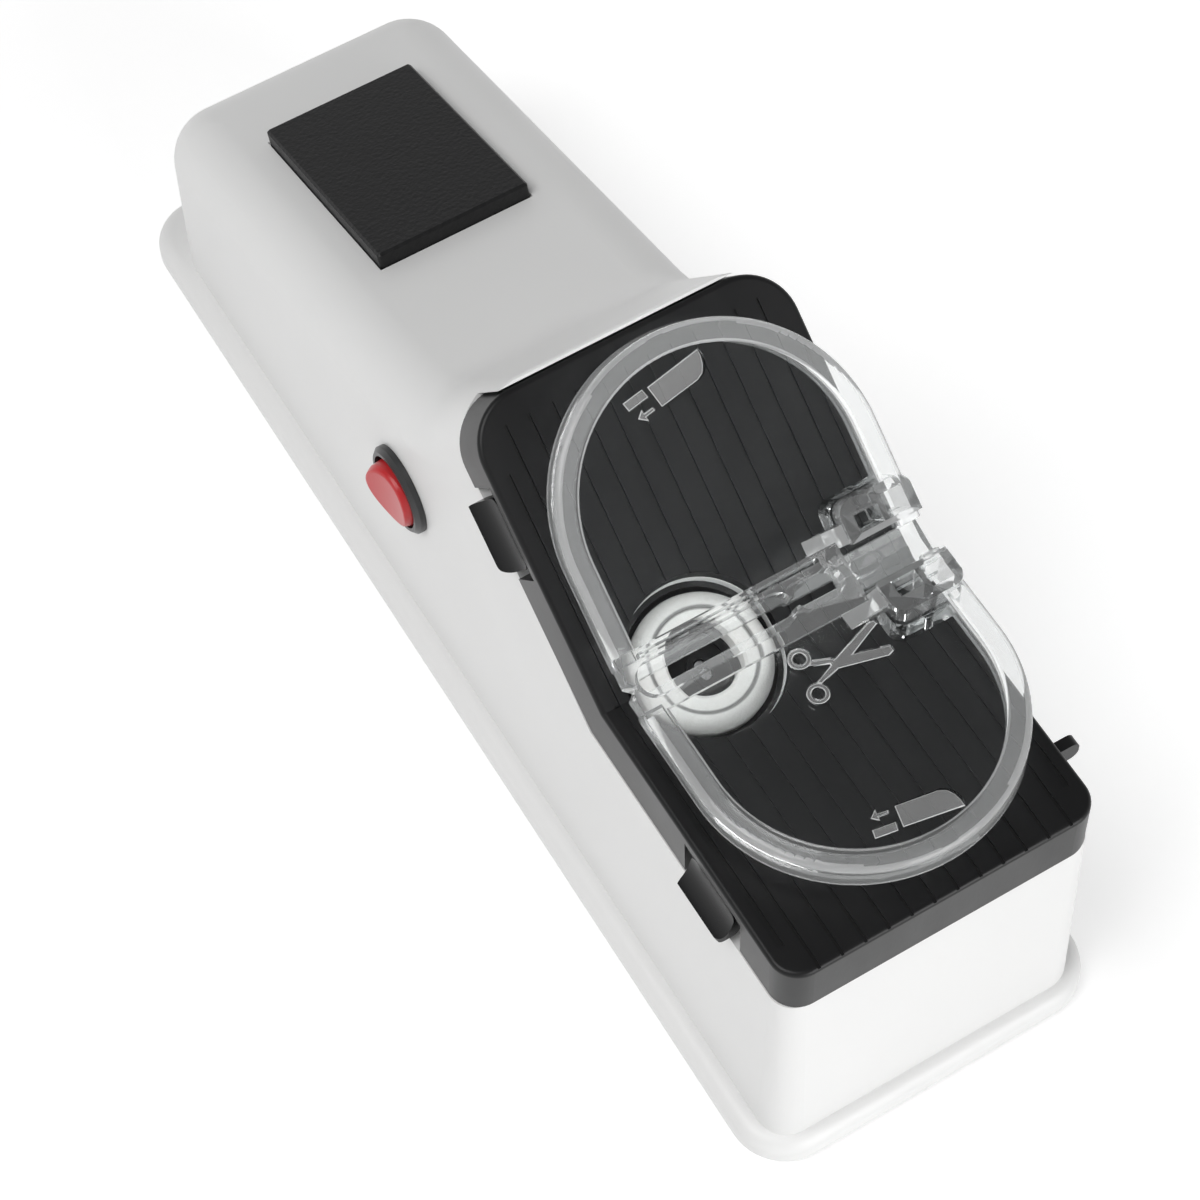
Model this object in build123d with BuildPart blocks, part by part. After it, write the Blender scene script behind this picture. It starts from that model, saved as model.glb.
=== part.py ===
from build123d import *
from math import cos, radians, sin, tan
import os

# Electric knife sharpener, battery driven, standing on four rubber feet.
# Millimetres, +Z up, origin under the middle of the base.
# The grinding end faces -Y, the sloping handle end faces +Y, and +X is the right-hand side.

os.makedirs("parts", exist_ok=True)

# ---- Base and housing ----------------------------------------------------------------
base_length = 210.0
base_width = 62.0
base_corner = 9.0
foot_height = 1.0
flange_height = 5.0
flange_round = 2.6
side_step = 3.4          # how far the base stands out of the side walls
front_step = 2.6
rear_step = 5.7
wall_front_corner = 5.0
wall_rear_corner = 10.0
draft = 1.5              # lean of every outer wall, degrees
wall = 2.4
floor_thick = 2.4
lip_height = 3.0
lip_thick = 1.6
gap = 0.2                # clearance between mating covers

# ---- Handle behind the work plate ----------------------------------------------------
crest_lip = 0.7          # thickness of the housing's lip behind the plate
crest_drop = 0.6         # how far the lip lies under the plate's surface
crest_arch = 8.0         # rounding of the lip's two ends
lip_bevel = 0.4
handle_mark = 118.0      # a place on the handle's straight top, from the front of the base
handle_mark_level = 63.6
handle_slope = 16.5
sweep_round = 22.0
edge_round = 9.5

# ---- Work plate ----------------------------------------------------------------------
plate_width = 52.6
plate_height = 62.0      # level part of the plate above the table
plate_thick = 2.5
plate_front = 3.4        # from the front of the base
fold_place = 53.0
slope_run = 47.9           # length of the slope, from the fold to its rear edge
plate_slope = 37.5
plate_front_corner = 4.5
plate_rear_corner = 8.5
plate_edge_round = 0.8
skirt_depth = 10.6
skirt_wall = 2.0
seam_gap = 0.3
neck_gap = 0.25
neck_wall = 2.0
groove_count = 12
groove_pitch = 3.8
groove_width = 0.5
groove_depth = 0.3
groove_margin = 4.5
edge_groove_inset = 2.6
edge_groove_width = 0.9
tab_reach = 4.4
tab_thick = 1.8
tab_height = 4.0
tab_place = 16.0

# ---- Side latches --------------------------------------------------------------------
latch_length = 11.4
latch_slot_gap = 1.7
latch_front_place = 22.9   # middle of the front latches, from the front of the base
latch_rear_run = 28.8      # middle of the rear latches, up the slope from the fold
latch_thick = 1.7
latch_flare = 2.4
latch_web = 2.2            # plate left above the latch slot
latch_top_gap = 0.5
latch_pin_radius = 0.55
latch_pin_length = 1.0     # pin beyond the slot, into the skirt
latch_pin_drop = 3.7       # pin below the plate's surface
latch_corner = 1.7

# ---- Grinding wheel and its drive ----------------------------------------------------
wheel_radius = 10.8
wheel_land_radius = 8.0
wheel_bore_radius = 5.4
wheel_top = 0.6            # along the wheel's axis, from the fold
wheel_shoulder = -1.9
wheel_thick = 5.0
wheel_gap = 1.5            # ring of air between wheel and work plate
well_gap = 0.7
wheel_step = 0.35          # the wheel's inner ring lies a little lower
hub_recess = 3.8
hub_flange_radius = 9.0
hub_flange_thick = 1.6
press_gap = 0.02
shaft_radius = 1.0
running_gap = 0.04
motor_radius = 12.0
motor_flat = 10.0          # half of the can's width across its flats
motor_length = 26.0
motor_front = -13.0        # front face of the motor along the wheel's axis
can_wall = 0.9
cap_thick = 4.0
bush_radius = 3.0
bush_length = 2.6
rotor_radius = 8.0
rotor_length = 13.0
magnet_gap = 0.5
magnet_thick = 2.2
commutator_radius = 3.0
commutator_length = 4.6
well_wall = 1.1
well_floor = 2.0
well_side_gap = 0.25       # between the wheel well and the left wall of the neck
motor_screw_spread = 8.0

# ---- Power switch --------------------------------------------------------------------
switch_place = 114.6
switch_level = 40.6
bezel_radius = 7.6
bezel_height = 1.7
bezel_hole = 6.3
switch_body_radius = 6.9
switch_depth = 12.0
rocker_tilt = 9.0
rocker_rise = 2.6          # height of the rocker's waist over its pin
rocker_pin_radius = 0.7
rocker_pin_depth = 1.3     # pin below the bezel's face
rocker_round = 0.8

# ---- Batteries -----------------------------------------------------------------------
cell_radius = 7.1
cell_length = 49.2
cell_nub_radius = 2.7
cell_nub_length = 1.3
cell_gap = 0.4
bay_start = 91.0
spring_room = 3.0
box_wall = 1.5
door_gap = 0.3
door_thick = 2.2
door_pin_radius = 0.8
door_pin_length = 1.6
contact_thick = 0.4

# ---- Nameplate, feet and fasteners ---------------------------------------------------
nameplate_start = 142.8
nameplate_width = 27.3
nameplate_length = 42.8
nameplate_thick = 3.2
nameplate_sink = 0.5
foot_radius = 5.0
foot_sink = 0.8
foot_inset_x = 9.0
foot_inset_y = 11.5
screw_radius = 1.3
screw_head_radius = 2.7
screw_head_height = 1.8
boss_radius = 3.4
screw_front_place = 26.0   # from the front of the base
screw_rear_place = 186.0
wire_radius = 0.7

# ---- Clear blade guide ---------------------------------------------------------------
guide_gap = 4.9            # room for a blade between plate and guide
guide_floor = 1.4
guide_left = -23.3
guide_right = 27.5
guide_reach = 46.6         # from the fold to the end of each lobe
guide_rim_width = 3.6
guide_rim_height = 4.5
guide_rim_drop = 1.2       # how far the rim hangs below the lobe
bar_half_width = 4.8
bar_height = 4.6
slot_half_width = 0.7
slot_wide_half = 1.1
rail_slot_width = 0.7
rail_slot_depth = 3.0
block_left = 15.6
block_near = 6.6
block_far = 12.8
block_corner = 2.2
block_height = 1.2         # how far the blocks stand above the rim
ramp_left = 9.6
ramp_width = 3.0
tongue_right = 26.6
tongue_half_width = 2.8
pictogram_depth = 0.5
guide_screw_reach = 2.2    # how far the guide's screws stand up into its blocks


# ---- Places worked out from the sizes ------------------------------------------------
front = -base_length / 2
far_width = base_width
ahead = front - 10
behind = front + base_length + 10
seam_level = foot_height + flange_height
fold_y = front + fold_place
half_slope = plate_slope / 2
latch_pin_x = (plate_width - latch_thick) / 2
plate_front_y = front + plate_front
handle_mark_y = front + handle_mark
wall_front_y = front + front_step
wall_rear_y = front + base_length - rear_step
wall_half_width = base_width / 2 - side_step
wheel_bottom = wheel_top - wheel_thick
well_inner = wheel_radius + well_gap
well_outer = well_inner + well_wall
neck_inset = skirt_wall + neck_gap
wheel_x = well_outer + well_side_gap + neck_inset + neck_wall - plate_width / 2

# The fold of the plate: X across, Y up the rear slope's side, Z along the wheel's axis.
valley = Plane(
    origin=(0, fold_y, plate_height),
    x_dir=(1, 0, 0),
    z_dir=(0, -sin(radians(half_slope)), cos(radians(half_slope))),
)


# The wheel's axle stands on the fold.
axle = Plane(
    origin=valley.from_local_coords((wheel_x, 0, 0)),
    x_dir=(1, 0, 0),
    z_dir=valley.z_dir,
)


# The two faces of the work plate, both with their origin on the fold and Y towards the rear.
level_face = Plane(origin=(0, fold_y, plate_height), x_dir=(1, 0, 0), z_dir=(0, 0, 1))
slope_face = Plane(
    origin=(0, fold_y, plate_height),
    x_dir=(1, 0, 0),
    z_dir=(0, -sin(radians(plate_slope)), cos(radians(plate_slope))),
)


def handle_level(y):
    """Height of the handle's straight top at a distance along Y."""
    return handle_mark_level - (y - handle_mark_y) * tan(radians(handle_slope))


def slope_point(run, depth):
    """The (y, z) place at a run up the slope and a depth square under it."""
    place = slope_face.from_local_coords((0, run, -depth))
    return (place.Y, place.Z)


def below_plate(depth, start_y, end_run):
    """Three (y, z) points of a line that runs at a given depth under the plate's surface."""
    corner_y = fold_y + depth * tan(radians(half_slope))
    return [(start_y, plate_height - depth), (corner_y, plate_height - depth), slope_point(end_run, depth)]


def side_profile(points):
    """A closed outline seen from the side."""
    with BuildSketch(Plane.YZ) as profile:
        with BuildLine():
            Polyline(*points, close=True)
        make_face()
    return profile.sketch


def plate_blank(inset, profile):
    """A block with the work plate's outline, drawn in by an inset and cut to a side profile."""
    half_width = plate_width / 2 - inset
    start = plate_front - fold_place + inset
    with BuildSketch(level_face) as front_shape:
        with Locations((0, start + 100)):
            Rectangle(2 * half_width, 200)
        fillet(front_shape.vertices().group_by(Axis.Y)[0], max(plate_front_corner - inset, 0.8))
    with BuildSketch(slope_face) as rear_shape:
        with Locations((0, slope_run - inset - 100)):
            Rectangle(2 * half_width, 200)
        fillet(rear_shape.vertices().group_by(Axis.Y)[-1], max(plate_rear_corner - inset, 0.8))
    with BuildPart() as blank:
        extrude(front_shape.sketch, amount=60, both=True)
        extrude(rear_shape.sketch, amount=60, both=True, mode=Mode.INTERSECT)
        extrude(profile, amount=far_width, both=True, mode=Mode.INTERSECT)
    return blank.part


def wall_outline(inset, level):
    """The housing's outline at a level just above the base, drawn in by an inset."""
    with BuildSketch(Plane.XY.offset(level)) as outline:
        with Locations((0, (wall_front_y + wall_rear_y) / 2)):
            Rectangle(2 * (wall_half_width - inset), wall_rear_y - wall_front_y - 2 * inset)
        fillet(outline.vertices().group_by(Axis.Y)[0], max(wall_front_corner - inset, 1.0))
        fillet(outline.vertices().group_by(Axis.Y)[-1], max(wall_rear_corner - inset, 1.0))
    return outline.sketch


def write(part, name):
    """Label a finished piece and write it to its own file."""
    part.label = name
    export_step(part, f"parts/{name}.step")


# ---- Upper housing -------------------------------------------------------------------
# Outside: drafted walls cut to the side profile. Behind the plate stands a thin lip, whose
# rear side goes down square to the plate's slope until it meets the handle's top.
seam_depth = skirt_depth + seam_gap
seam_run = slope_run + seam_gap
rise_run = seam_run + crest_lip
crest_level = slope_point(rise_run, crest_drop)[1]
rise_height = plate_height + rise_run * sin(radians(plate_slope)) - handle_level(fold_y + rise_run * cos(radians(plate_slope)))
rise_depth = rise_height / (cos(radians(plate_slope)) - sin(radians(plate_slope)) * tan(radians(handle_slope)))
sweep_y, sweep_z = slope_point(rise_run, rise_depth)
with BuildSketch(Plane.YZ) as inside_side:
    with BuildLine():
        Polyline(
            (ahead, -10),
            *below_plate(seam_depth, ahead, rise_run),
            (sweep_y, sweep_z),
            (behind, handle_level(behind)),
            (behind, -10),
            close=True,
        )
    make_face()
    sweep_corner = inside_side.vertices().sort_by_distance((sweep_y, sweep_z))[0]
    fillet(sweep_corner, sweep_round)

outer_footprint = wall_outline(0, seam_level)
plate_space = side_profile(
    [
        (ahead, crest_level + 60),
        *below_plate(seam_depth, ahead, seam_run),
        slope_point(seam_run, crest_drop),
        slope_point(seam_run + 60, crest_drop),
        slope_point(seam_run + 60, -60),
    ]
)
rear_side = side_profile([(fold_y, -10), (fold_y, crest_level + 60), (behind, crest_level + 60), (behind, -10)])
with BuildPart() as hump_form:
    extrude(outer_footprint, amount=crest_level + 20, taper=draft)
    extrude(rear_side, amount=far_width, both=True, mode=Mode.INTERSECT)
    rise_top = slope_point(rise_run, -30)
    above_handle = side_profile(
        [
            (rise_top[0], crest_level + 60),
            rise_top,
            (sweep_y, sweep_z),
            (behind, handle_level(behind)),
            (behind, crest_level + 60),
        ]
    )
    extrude(above_handle, amount=far_width, both=True, mode=Mode.SUBTRACT)
    sweep_edge = [e for e in hump_form.edges() if abs(e.center().X) < 1 and abs(e.center().Y - sweep_y) < 0.1]
    fillet(sweep_edge, sweep_round)
    crown = [
        edge
        for edge in hump_form.edges()
        if edge.center().Z > handle_level(wall_rear_y) - 6
        and edge.center().Y > fold_y + 1
        and (abs(edge.center().X) > 1 or edge.center().Y > wall_rear_y - 5)
        and edge.center().Z > handle_level(edge.center().Y) - 6
        and edge.center().Z < crest_level + 8
    ]
    fillet(crown, edge_round)
    extrude(plate_space, amount=far_width, both=True, mode=Mode.SUBTRACT)
    # the lip falls away at its two ends
    with BuildSketch(Plane(origin=slope_face.origin, x_dir=(1, 0, 0), z_dir=slope_face.y_dir * -1)) as lip_arch:
        with Locations((0, -100 - crest_drop)):
            Rectangle(2 * wall_half_width, 200)
        fillet(lip_arch.vertices().group_by(Axis.Z)[-1], crest_arch)
    extrude(lip_arch.sketch, amount=200, both=True, mode=Mode.INTERSECT)
    lip_edge = [
        edge
        for edge in hump_form.edges().filter_by(GeomType.LINE)
        if abs(edge.center().X) < 1
        and abs(slope_face.to_local_coords(edge.center()).Y - rise_run) < 0.01
        and abs(slope_face.to_local_coords(edge.center()).Z + crest_drop) < 0.01
    ]
    chamfer(lip_edge, min(lip_bevel, 0.4 * crest_lip))

with BuildPart() as housing_form:
    extrude(outer_footprint, amount=crest_level, taper=draft)
    front_side = side_profile(
        [
            (ahead, -10),
            (ahead, plate_height - seam_depth),
            (fold_y + 1, plate_height - seam_depth),
            (fold_y + 1, -10),
        ]
    )
    extrude(front_side, amount=far_width, both=True, mode=Mode.INTERSECT)
    add(hump_form.part)

# Neck: the narrower top that the work plate caps.
neck_base = plate_height - skirt_depth - 8
neck_side = side_profile(
    [
        (ahead, neck_base),
        *below_plate(plate_thick + gap, ahead, slope_run + 10),
        (slope_point(slope_run + 10, 0)[0], neck_base),
    ]
)
neck_form = plate_blank(neck_inset, neck_side)

# Inside: the same forms, a wall's thickness smaller.
with BuildSketch(Plane.YZ) as cavity_side:
    add(inside_side.sketch_local)
    offset(amount=-wall)
inner_footprint = wall_outline(wall, 0)
with BuildPart() as cavity_form:
    extrude(inner_footprint, amount=crest_level, taper=draft)
    extrude(cavity_side.sketch, amount=far_width, both=True, mode=Mode.INTERSECT)
    long_top = [
        edge
        for edge in cavity_form.edges().filter_by(GeomType.LINE)
        if edge.center().Y > handle_mark_y + 15
        and edge.center().Z > handle_level(edge.center().Y) - 2 * wall
        and abs(edge.center().X) > 15
    ]
    chamfer(long_top, 4.0)

neck_cavity_side = side_profile(
    [
        (ahead, neck_base - 2),
        *below_plate(plate_thick + gap + neck_wall, ahead, slope_run + 10),
        (slope_point(slope_run + 10, 0)[0], neck_base - 2),
    ]
)
neck_cavity = plate_blank(neck_inset + neck_wall, neck_cavity_side)

# Posts that take the housing screws, and the bosses that carry the wheel well.
door_half_width = 2 * cell_radius + cell_gap + 0.6
post_x = door_half_width + box_wall + 2 * gap + boss_radius + 0.4
post_places = [(sx * post_x, front + y) for y in (screw_front_place, screw_rear_place) for sx in (-1, 1)]
post_start = foot_height + floor_thick + 6.0
with BuildPart() as screw_posts:
    with BuildSketch(Plane.XY.offset(post_start)):
        with Locations(*post_places):
            Circle(boss_radius)
    extrude(amount=crest_level)
solid_form = housing_form.part + neck_form
with BuildPart() as held_posts:
    add(screw_posts.part)
    add(solid_form, mode=Mode.INTERSECT)

well_ear_places = [(sx * 6.0, sy * (well_outer + 3.0)) for sx in (-1, 1) for sy in (-1, 1)]
well_boss_level = motor_front + well_floor + 0.05
with BuildPart() as well_bosses:
    with BuildSketch(axle.offset(well_boss_level)):
        with Locations(*well_ear_places):
            Circle(2.6)
    extrude(amount=30)
    add(solid_form, mode=Mode.INTERSECT)

wall_lean = Plane(
    origin=(
        -wall_half_width + (switch_level - seam_level) * tan(radians(draft)),
        front + switch_place,
        switch_level,
    ),
    x_dir=(0, 1, 0),
    z_dir=(-cos(radians(draft)), 0, sin(radians(draft))),
)
handle_face = Plane(
    origin=(0, front + nameplate_start, handle_level(front + nameplate_start)),
    x_dir=(1, 0, 0),
    z_dir=(0, sin(radians(handle_slope)), cos(radians(handle_slope))),
)

with BuildPart() as upper_housing:
    add(housing_form.part)
    add(neck_form)
    add(cavity_form.part, mode=Mode.SUBTRACT)
    add(neck_cavity, mode=Mode.SUBTRACT)
    add(held_posts.part)
    add(well_bosses.part)
    # pilot holes for the housing screws
    with BuildSketch(Plane.XY.offset(post_start)):
        with Locations(*post_places):
            Circle(screw_radius - 0.15)
    extrude(amount=12.0, mode=Mode.SUBTRACT)
    # pilot holes for the screws of the wheel well
    with BuildSketch(axle.offset(well_boss_level)):
        with Locations(*well_ear_places):
            Circle(0.9)
    extrude(amount=7.0, mode=Mode.SUBTRACT)
    # round opening over the wheel
    with BuildSketch(axle.offset(-12)):
        Circle(wheel_radius + wheel_gap)
    extrude(amount=24, mode=Mode.SUBTRACT)
    # round hole for the switch
    with BuildSketch(wall_lean.offset(-wall * 2)):
        Circle(switch_body_radius + 0.1)
    extrude(amount=wall * 4, mode=Mode.SUBTRACT)
    # shallow seat for the nameplate
    with BuildSketch(handle_face.offset(-nameplate_sink)):
        with Locations((0, nameplate_length / 2)):
            Rectangle(nameplate_width + 2 * gap, nameplate_length + 2 * gap)
    extrude(amount=5, mode=Mode.SUBTRACT)
write(upper_housing.part, "upper_housing")

# ---- Base tray -----------------------------------------------------------------------
bay_length = 2 * (cell_length + cell_nub_length) + 2 * spring_room
bay_middle_y = front + bay_start + bay_length / 2
lip_inset = wall + gap + (seam_level + lip_height) * tan(radians(draft))
with BuildPart() as base_tray:
    with BuildSketch(Plane.XY.offset(foot_height)):
        RectangleRounded(base_width, base_length, base_corner)
    extrude(amount=flange_height)
    top_loop = base_tray.faces().sort_by(Axis.Z)[-1].edges()
    fillet(top_loop, flange_round)
    chamfer(base_tray.faces().sort_by(Axis.Z)[0].edges(), 0.6)
    # lip that stands inside the housing's wall
    extrude(wall_outline(lip_inset, seam_level - 0.5), amount=lip_height + 0.5)
    extrude(
        wall_outline(lip_inset + lip_thick, foot_height + floor_thick),
        amount=flange_height + lip_height,
        mode=Mode.SUBTRACT,
    )
    # bosses under the housing's posts
    boss_height = post_start - gap - foot_height
    with BuildSketch(Plane.XY.offset(foot_height)):
        with Locations(*post_places):
            Circle(boss_radius + 0.4)
    extrude(amount=boss_height)
    with Locations(*[(x, y, foot_height) for x, y in post_places]):
        Cylinder(
            screw_radius + 0.2,
            boss_height,
            align=(Align.CENTER, Align.CENTER, Align.MIN),
            mode=Mode.SUBTRACT,
        )
        Cylinder(
            screw_head_radius + 0.3,
            4.0,
            align=(Align.CENTER, Align.CENTER, Align.MIN),
            mode=Mode.SUBTRACT,
        )
    # opening and pin sockets of the battery door
    with BuildSketch(Plane.XY.offset(foot_height)):
        with Locations((0, bay_middle_y)):
            Rectangle(2 * door_half_width, bay_length)
    extrude(amount=floor_thick, mode=Mode.SUBTRACT)
    door_pin_y = bay_middle_y - bay_length / 2 + door_gap + door_thick / 2
    door_pin_z = foot_height + floor_thick / 2
    with BuildSketch(Plane.YZ):
        with Locations((door_pin_y, door_pin_z)):
            Circle(door_pin_radius + running_gap)
    extrude(amount=door_half_width + door_pin_length + 0.2, both=True, mode=Mode.SUBTRACT)
    # thumb notch behind the door
    with Locations((0, bay_middle_y + bay_length / 2, foot_height)):
        Cylinder(6.0, 1.2, align=(Align.CENTER, Align.CENTER, Align.MIN), mode=Mode.SUBTRACT)
    # round seats for the feet
    foot_places = [
        (sx * (base_width / 2 - foot_inset_x), sy * (base_length / 2 - foot_inset_y))
        for sx in (-1, 1)
        for sy in (-1, 1)
    ]
    with Locations(*[(x, y, foot_height) for x, y in foot_places]):
        Cylinder(
            foot_radius + 0.1,
            foot_sink,
            align=(Align.CENTER, Align.CENTER, Align.MIN),
            mode=Mode.SUBTRACT,
        )
write(base_tray.part, "base_tray")

with BuildPart() as rubber_feet:
    with BuildSketch():
        with Locations(*foot_places):
            Circle(foot_radius)
    extrude(amount=foot_height + foot_sink)
    chamfer(rubber_feet.faces().group_by(Axis.Z)[0].edges(), 0.4)
write(rubber_feet.part, "rubber_feet")

with BuildPart() as housing_screws:
    head_level = foot_height + 4.0 - screw_head_height
    with BuildSketch(Plane.XY.offset(head_level)):
        with Locations(*post_places):
            Circle(screw_head_radius)
    extrude(amount=screw_head_height)
    with BuildSketch(Plane.XY.offset(head_level)):
        with Locations(*post_places):
            Circle(screw_radius - 0.15)
    extrude(amount=screw_head_height + 13.0)
    with BuildSketch(Plane.XY.offset(head_level)):
        with Locations(*post_places):
            Rectangle(3.2, 0.8)
            Rectangle(0.8, 3.2)
    extrude(amount=0.9, mode=Mode.SUBTRACT)
write(housing_screws.part, "housing_screws")

# ---- Nameplate -----------------------------------------------------------------------
with BuildPart() as nameplate:
    with BuildSketch(handle_face.offset(-nameplate_sink)):
        with Locations((0, nameplate_length / 2)):
            RectangleRounded(nameplate_width, nameplate_length, 0.6)
    extrude(amount=nameplate_thick)
    upper_rim = nameplate.faces().filter_by(handle_face).sort_by(Axis.Z)[-1].edges()
    chamfer(upper_rim, 0.4)
write(nameplate.part, "nameplate")

# ---- Work plate ----------------------------------------------------------------------
plate_side = side_profile(
    below_plate(0, ahead, slope_run + 10) + list(reversed(below_plate(skirt_depth, ahead, slope_run + 10)))
)
hollow_side = side_profile(
    below_plate(plate_thick, ahead, slope_run + 10)
    + list(reversed(below_plate(skirt_depth + 5, ahead, slope_run + 10)))
)
plate_hollow = plate_blank(skirt_wall, hollow_side)

latch_front_run = latch_front_place - fold_place
groove_places = [(index - (groove_count - 1) / 2) * groove_pitch for index in range(groove_count)]
edge_groove_x = plate_width / 2 - edge_groove_inset
screw_x = block_left + 6.0
screw_run = block_far - 2.0

with BuildPart() as work_plate:
    add(plate_blank(0, plate_side))
    rim = [
        edge
        for edge in work_plate.faces().filter_by(level_face).sort_by(Axis.Z)[-1].edges()
        + work_plate.faces().filter_by(slope_face).sort_by(Axis.Z)[-1].edges()
        if abs(edge.center().Y - fold_y) > 0.01
    ]
    fillet(rim, plate_edge_round)
    add(plate_hollow, mode=Mode.SUBTRACT)
    # long grooves on the level part, which run out over its front edge
    with BuildSketch(level_face.offset(-groove_depth)):
        with Locations(*[(x, -fold_place / 2) for x in groove_places]):
            Rectangle(groove_width, fold_place)
        with Locations((-edge_groove_x, -22), (edge_groove_x, -22)):
            Rectangle(edge_groove_width, 44)
    extrude(amount=2, mode=Mode.SUBTRACT)
    # the same grooves on the slope, which stop short of its rear edge
    with BuildSketch(slope_face.offset(-groove_depth)):
        with Locations(*[(x, (slope_run - groove_margin) / 2) for x in groove_places]):
            Rectangle(groove_width, slope_run - groove_margin)
        with Locations((-edge_groove_x, (slope_run - 11) / 2), (edge_groove_x, (slope_run - 11) / 2)):
            Rectangle(edge_groove_width, slope_run - 11)
    extrude(amount=2, mode=Mode.SUBTRACT)
    # round opening for the wheel
    with BuildSketch(axle.offset(-12)):
        Circle(wheel_radius + wheel_gap)
    extrude(amount=24, mode=Mode.SUBTRACT)
    # slots for the latches, open at the bottom of the skirt
    slot_length = latch_length + 2 * latch_slot_gap
    with BuildSketch(level_face.offset(-latch_web)):
        with Locations((0, latch_front_run)):
            Rectangle(plate_width + 4, slot_length)
        Rectangle(plate_width - 2 * skirt_wall, 200, mode=Mode.SUBTRACT)
    extrude(amount=-skirt_depth, mode=Mode.SUBTRACT)
    with BuildSketch(slope_face.offset(-latch_web)):
        with Locations((0, latch_rear_run)):
            Rectangle(plate_width + 4, slot_length)
        Rectangle(plate_width - 2 * skirt_wall, 200, mode=Mode.SUBTRACT)
    extrude(amount=-skirt_depth, mode=Mode.SUBTRACT)
    # holes for the guide's screws, with room for their heads underneath
    for face, side in ((level_face, -1), (slope_face, 1)):
        with BuildSketch(face.offset(-plate_thick - 0.01)):
            with Locations((screw_x, side * screw_run)):
                Circle(1.9)
        extrude(amount=1.2, mode=Mode.SUBTRACT)
        with BuildSketch(face.offset(-plate_thick)):
            with Locations((screw_x, side * screw_run)):
                Circle(1.1)
        extrude(amount=plate_thick + 1, mode=Mode.SUBTRACT)
    # finger tab low on the right-hand side
    with BuildSketch(Plane.XZ.offset(-(front + tab_place - tab_thick / 2))):
        with Locations((plate_width / 2 + tab_reach / 2 - 0.5, plate_height - skirt_depth / 2)):
            RectangleRounded(tab_reach + 1, tab_height, 1.5)
    extrude(amount=-tab_thick)
    # blind sockets for the latches' pins
    for face, run in ((level_face, latch_front_run), (slope_face, latch_rear_run)):
        for side in (-1, 1):
            pin_start = Plane(
                origin=face.from_local_coords((side * latch_pin_x, run + slot_length / 2 + latch_pin_length, -latch_pin_drop)),
                x_dir=(1, 0, 0),
                z_dir=face.y_dir * -1,
            )
            with BuildSketch(pin_start):
                Circle(latch_pin_radius + running_gap)
            extrude(amount=slot_length + 2 * latch_pin_length, mode=Mode.SUBTRACT)
write(work_plate.part, "work_plate")


# ---- Side latches --------------------------------------------------------------------
# Each latch hangs on two pins in its slot of the skirt and flares out to a lip for the finger.
def latch_section(plane, side):
    """Section of one latch on the left (-1) or right (+1) side, seen along the plate."""
    outer_x = side * plate_width / 2
    inner_x = side * (plate_width / 2 - latch_thick)
    top = -latch_web - latch_top_gap
    bottom = -skirt_depth + 0.4
    with BuildSketch(plane) as section:
        with BuildLine():
            Line((inner_x, top), (outer_x - side * 0.1, top))
            TangentArc(
                (outer_x - side * 0.1, top),
                (outer_x + side * latch_flare, bottom + 1.0),
                tangent=(0, -1),
            )
            Line((outer_x + side * latch_flare, bottom + 1.0), (outer_x + side * (latch_flare - 0.6), bottom))
            TangentArc(
                (inner_x, top - 2.5),
                (outer_x + side * (latch_flare - 0.6), bottom),
                tangent=(0, -1),
            )
            Line((inner_x, top - 2.5), (inner_x, top))
        make_face()
    return section.sketch


for row, face, run in (("front", level_face, latch_front_run), ("rear", slope_face, latch_rear_run)):
    for word, side in (("left", -1), ("right", 1)):
        latch_start = Plane(
            origin=face.from_local_coords((0, run + latch_length / 2, 0)),
            x_dir=(1, 0, 0),
            z_dir=face.y_dir * -1,
        )
        section = latch_section(latch_start, side)
        latch_top = latch_web + latch_top_gap
        latch_height = skirt_depth - 0.4 - latch_top
        with BuildSketch(
            Plane(
                origin=face.from_local_coords((0, run, -latch_top - latch_height / 2)),
                x_dir=face.y_dir,
                z_dir=(1, 0, 0),
            )
        ) as latch_front:
            RectangleRounded(latch_length, latch_height, latch_corner)
        with BuildSketch(face) as latch_plan:
            with Locations((side * (plate_width / 2 + latch_flare - 5), run)):
                plan_box = Rectangle(10, latch_length)
            fillet(plan_box.vertices().group_by(Axis.X)[0 if side < 0 else -1], latch_corner)
        with BuildPart() as latch:
            extrude(section, amount=latch_length)
            extrude(latch_front.sketch, amount=far_width, both=True, mode=Mode.INTERSECT)
            extrude(latch_plan.sketch, amount=far_width, both=True, mode=Mode.INTERSECT)
            with BuildSketch(latch_start.offset(-latch_slot_gap - latch_pin_length + gap)):
                with Locations((side * latch_pin_x, -latch_pin_drop)):
                    Circle(latch_pin_radius)
            extrude(amount=latch_length + 2 * (latch_slot_gap + latch_pin_length - gap))
        write(latch.part, f"latch_{row}_{word}")

# ---- Clear blade guide ---------------------------------------------------------------
# One half is drawn over the level part of the plate and mirrored across the fold.
guide_level = plate_height + guide_gap
lobe_middle = (guide_left + guide_right) / 2
lobe_radius = (guide_right - guide_left) / 2
lobe_straight = guide_reach - lobe_radius
block_right = guide_right
block_width = block_right - block_left
lobe_top = guide_gap - guide_rim_drop + guide_rim_height


def lobe_outline(inset, near, level):
    """The D-shaped lobe over the level part, from a distance in front of the fold."""
    left = guide_left + inset
    right = guide_right - inset
    tip = fold_y - guide_reach + inset
    shoulder = fold_y - lobe_straight
    with BuildSketch(Plane.XY.offset(level)) as outline:
        with BuildLine():
            Polyline((right, shoulder), (right, fold_y - near), (left, fold_y - near), (left, shoulder))
            ThreePointArc((left, shoulder), (lobe_middle, tip), (right, shoulder))
        make_face()
    return outline.sketch


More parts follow.
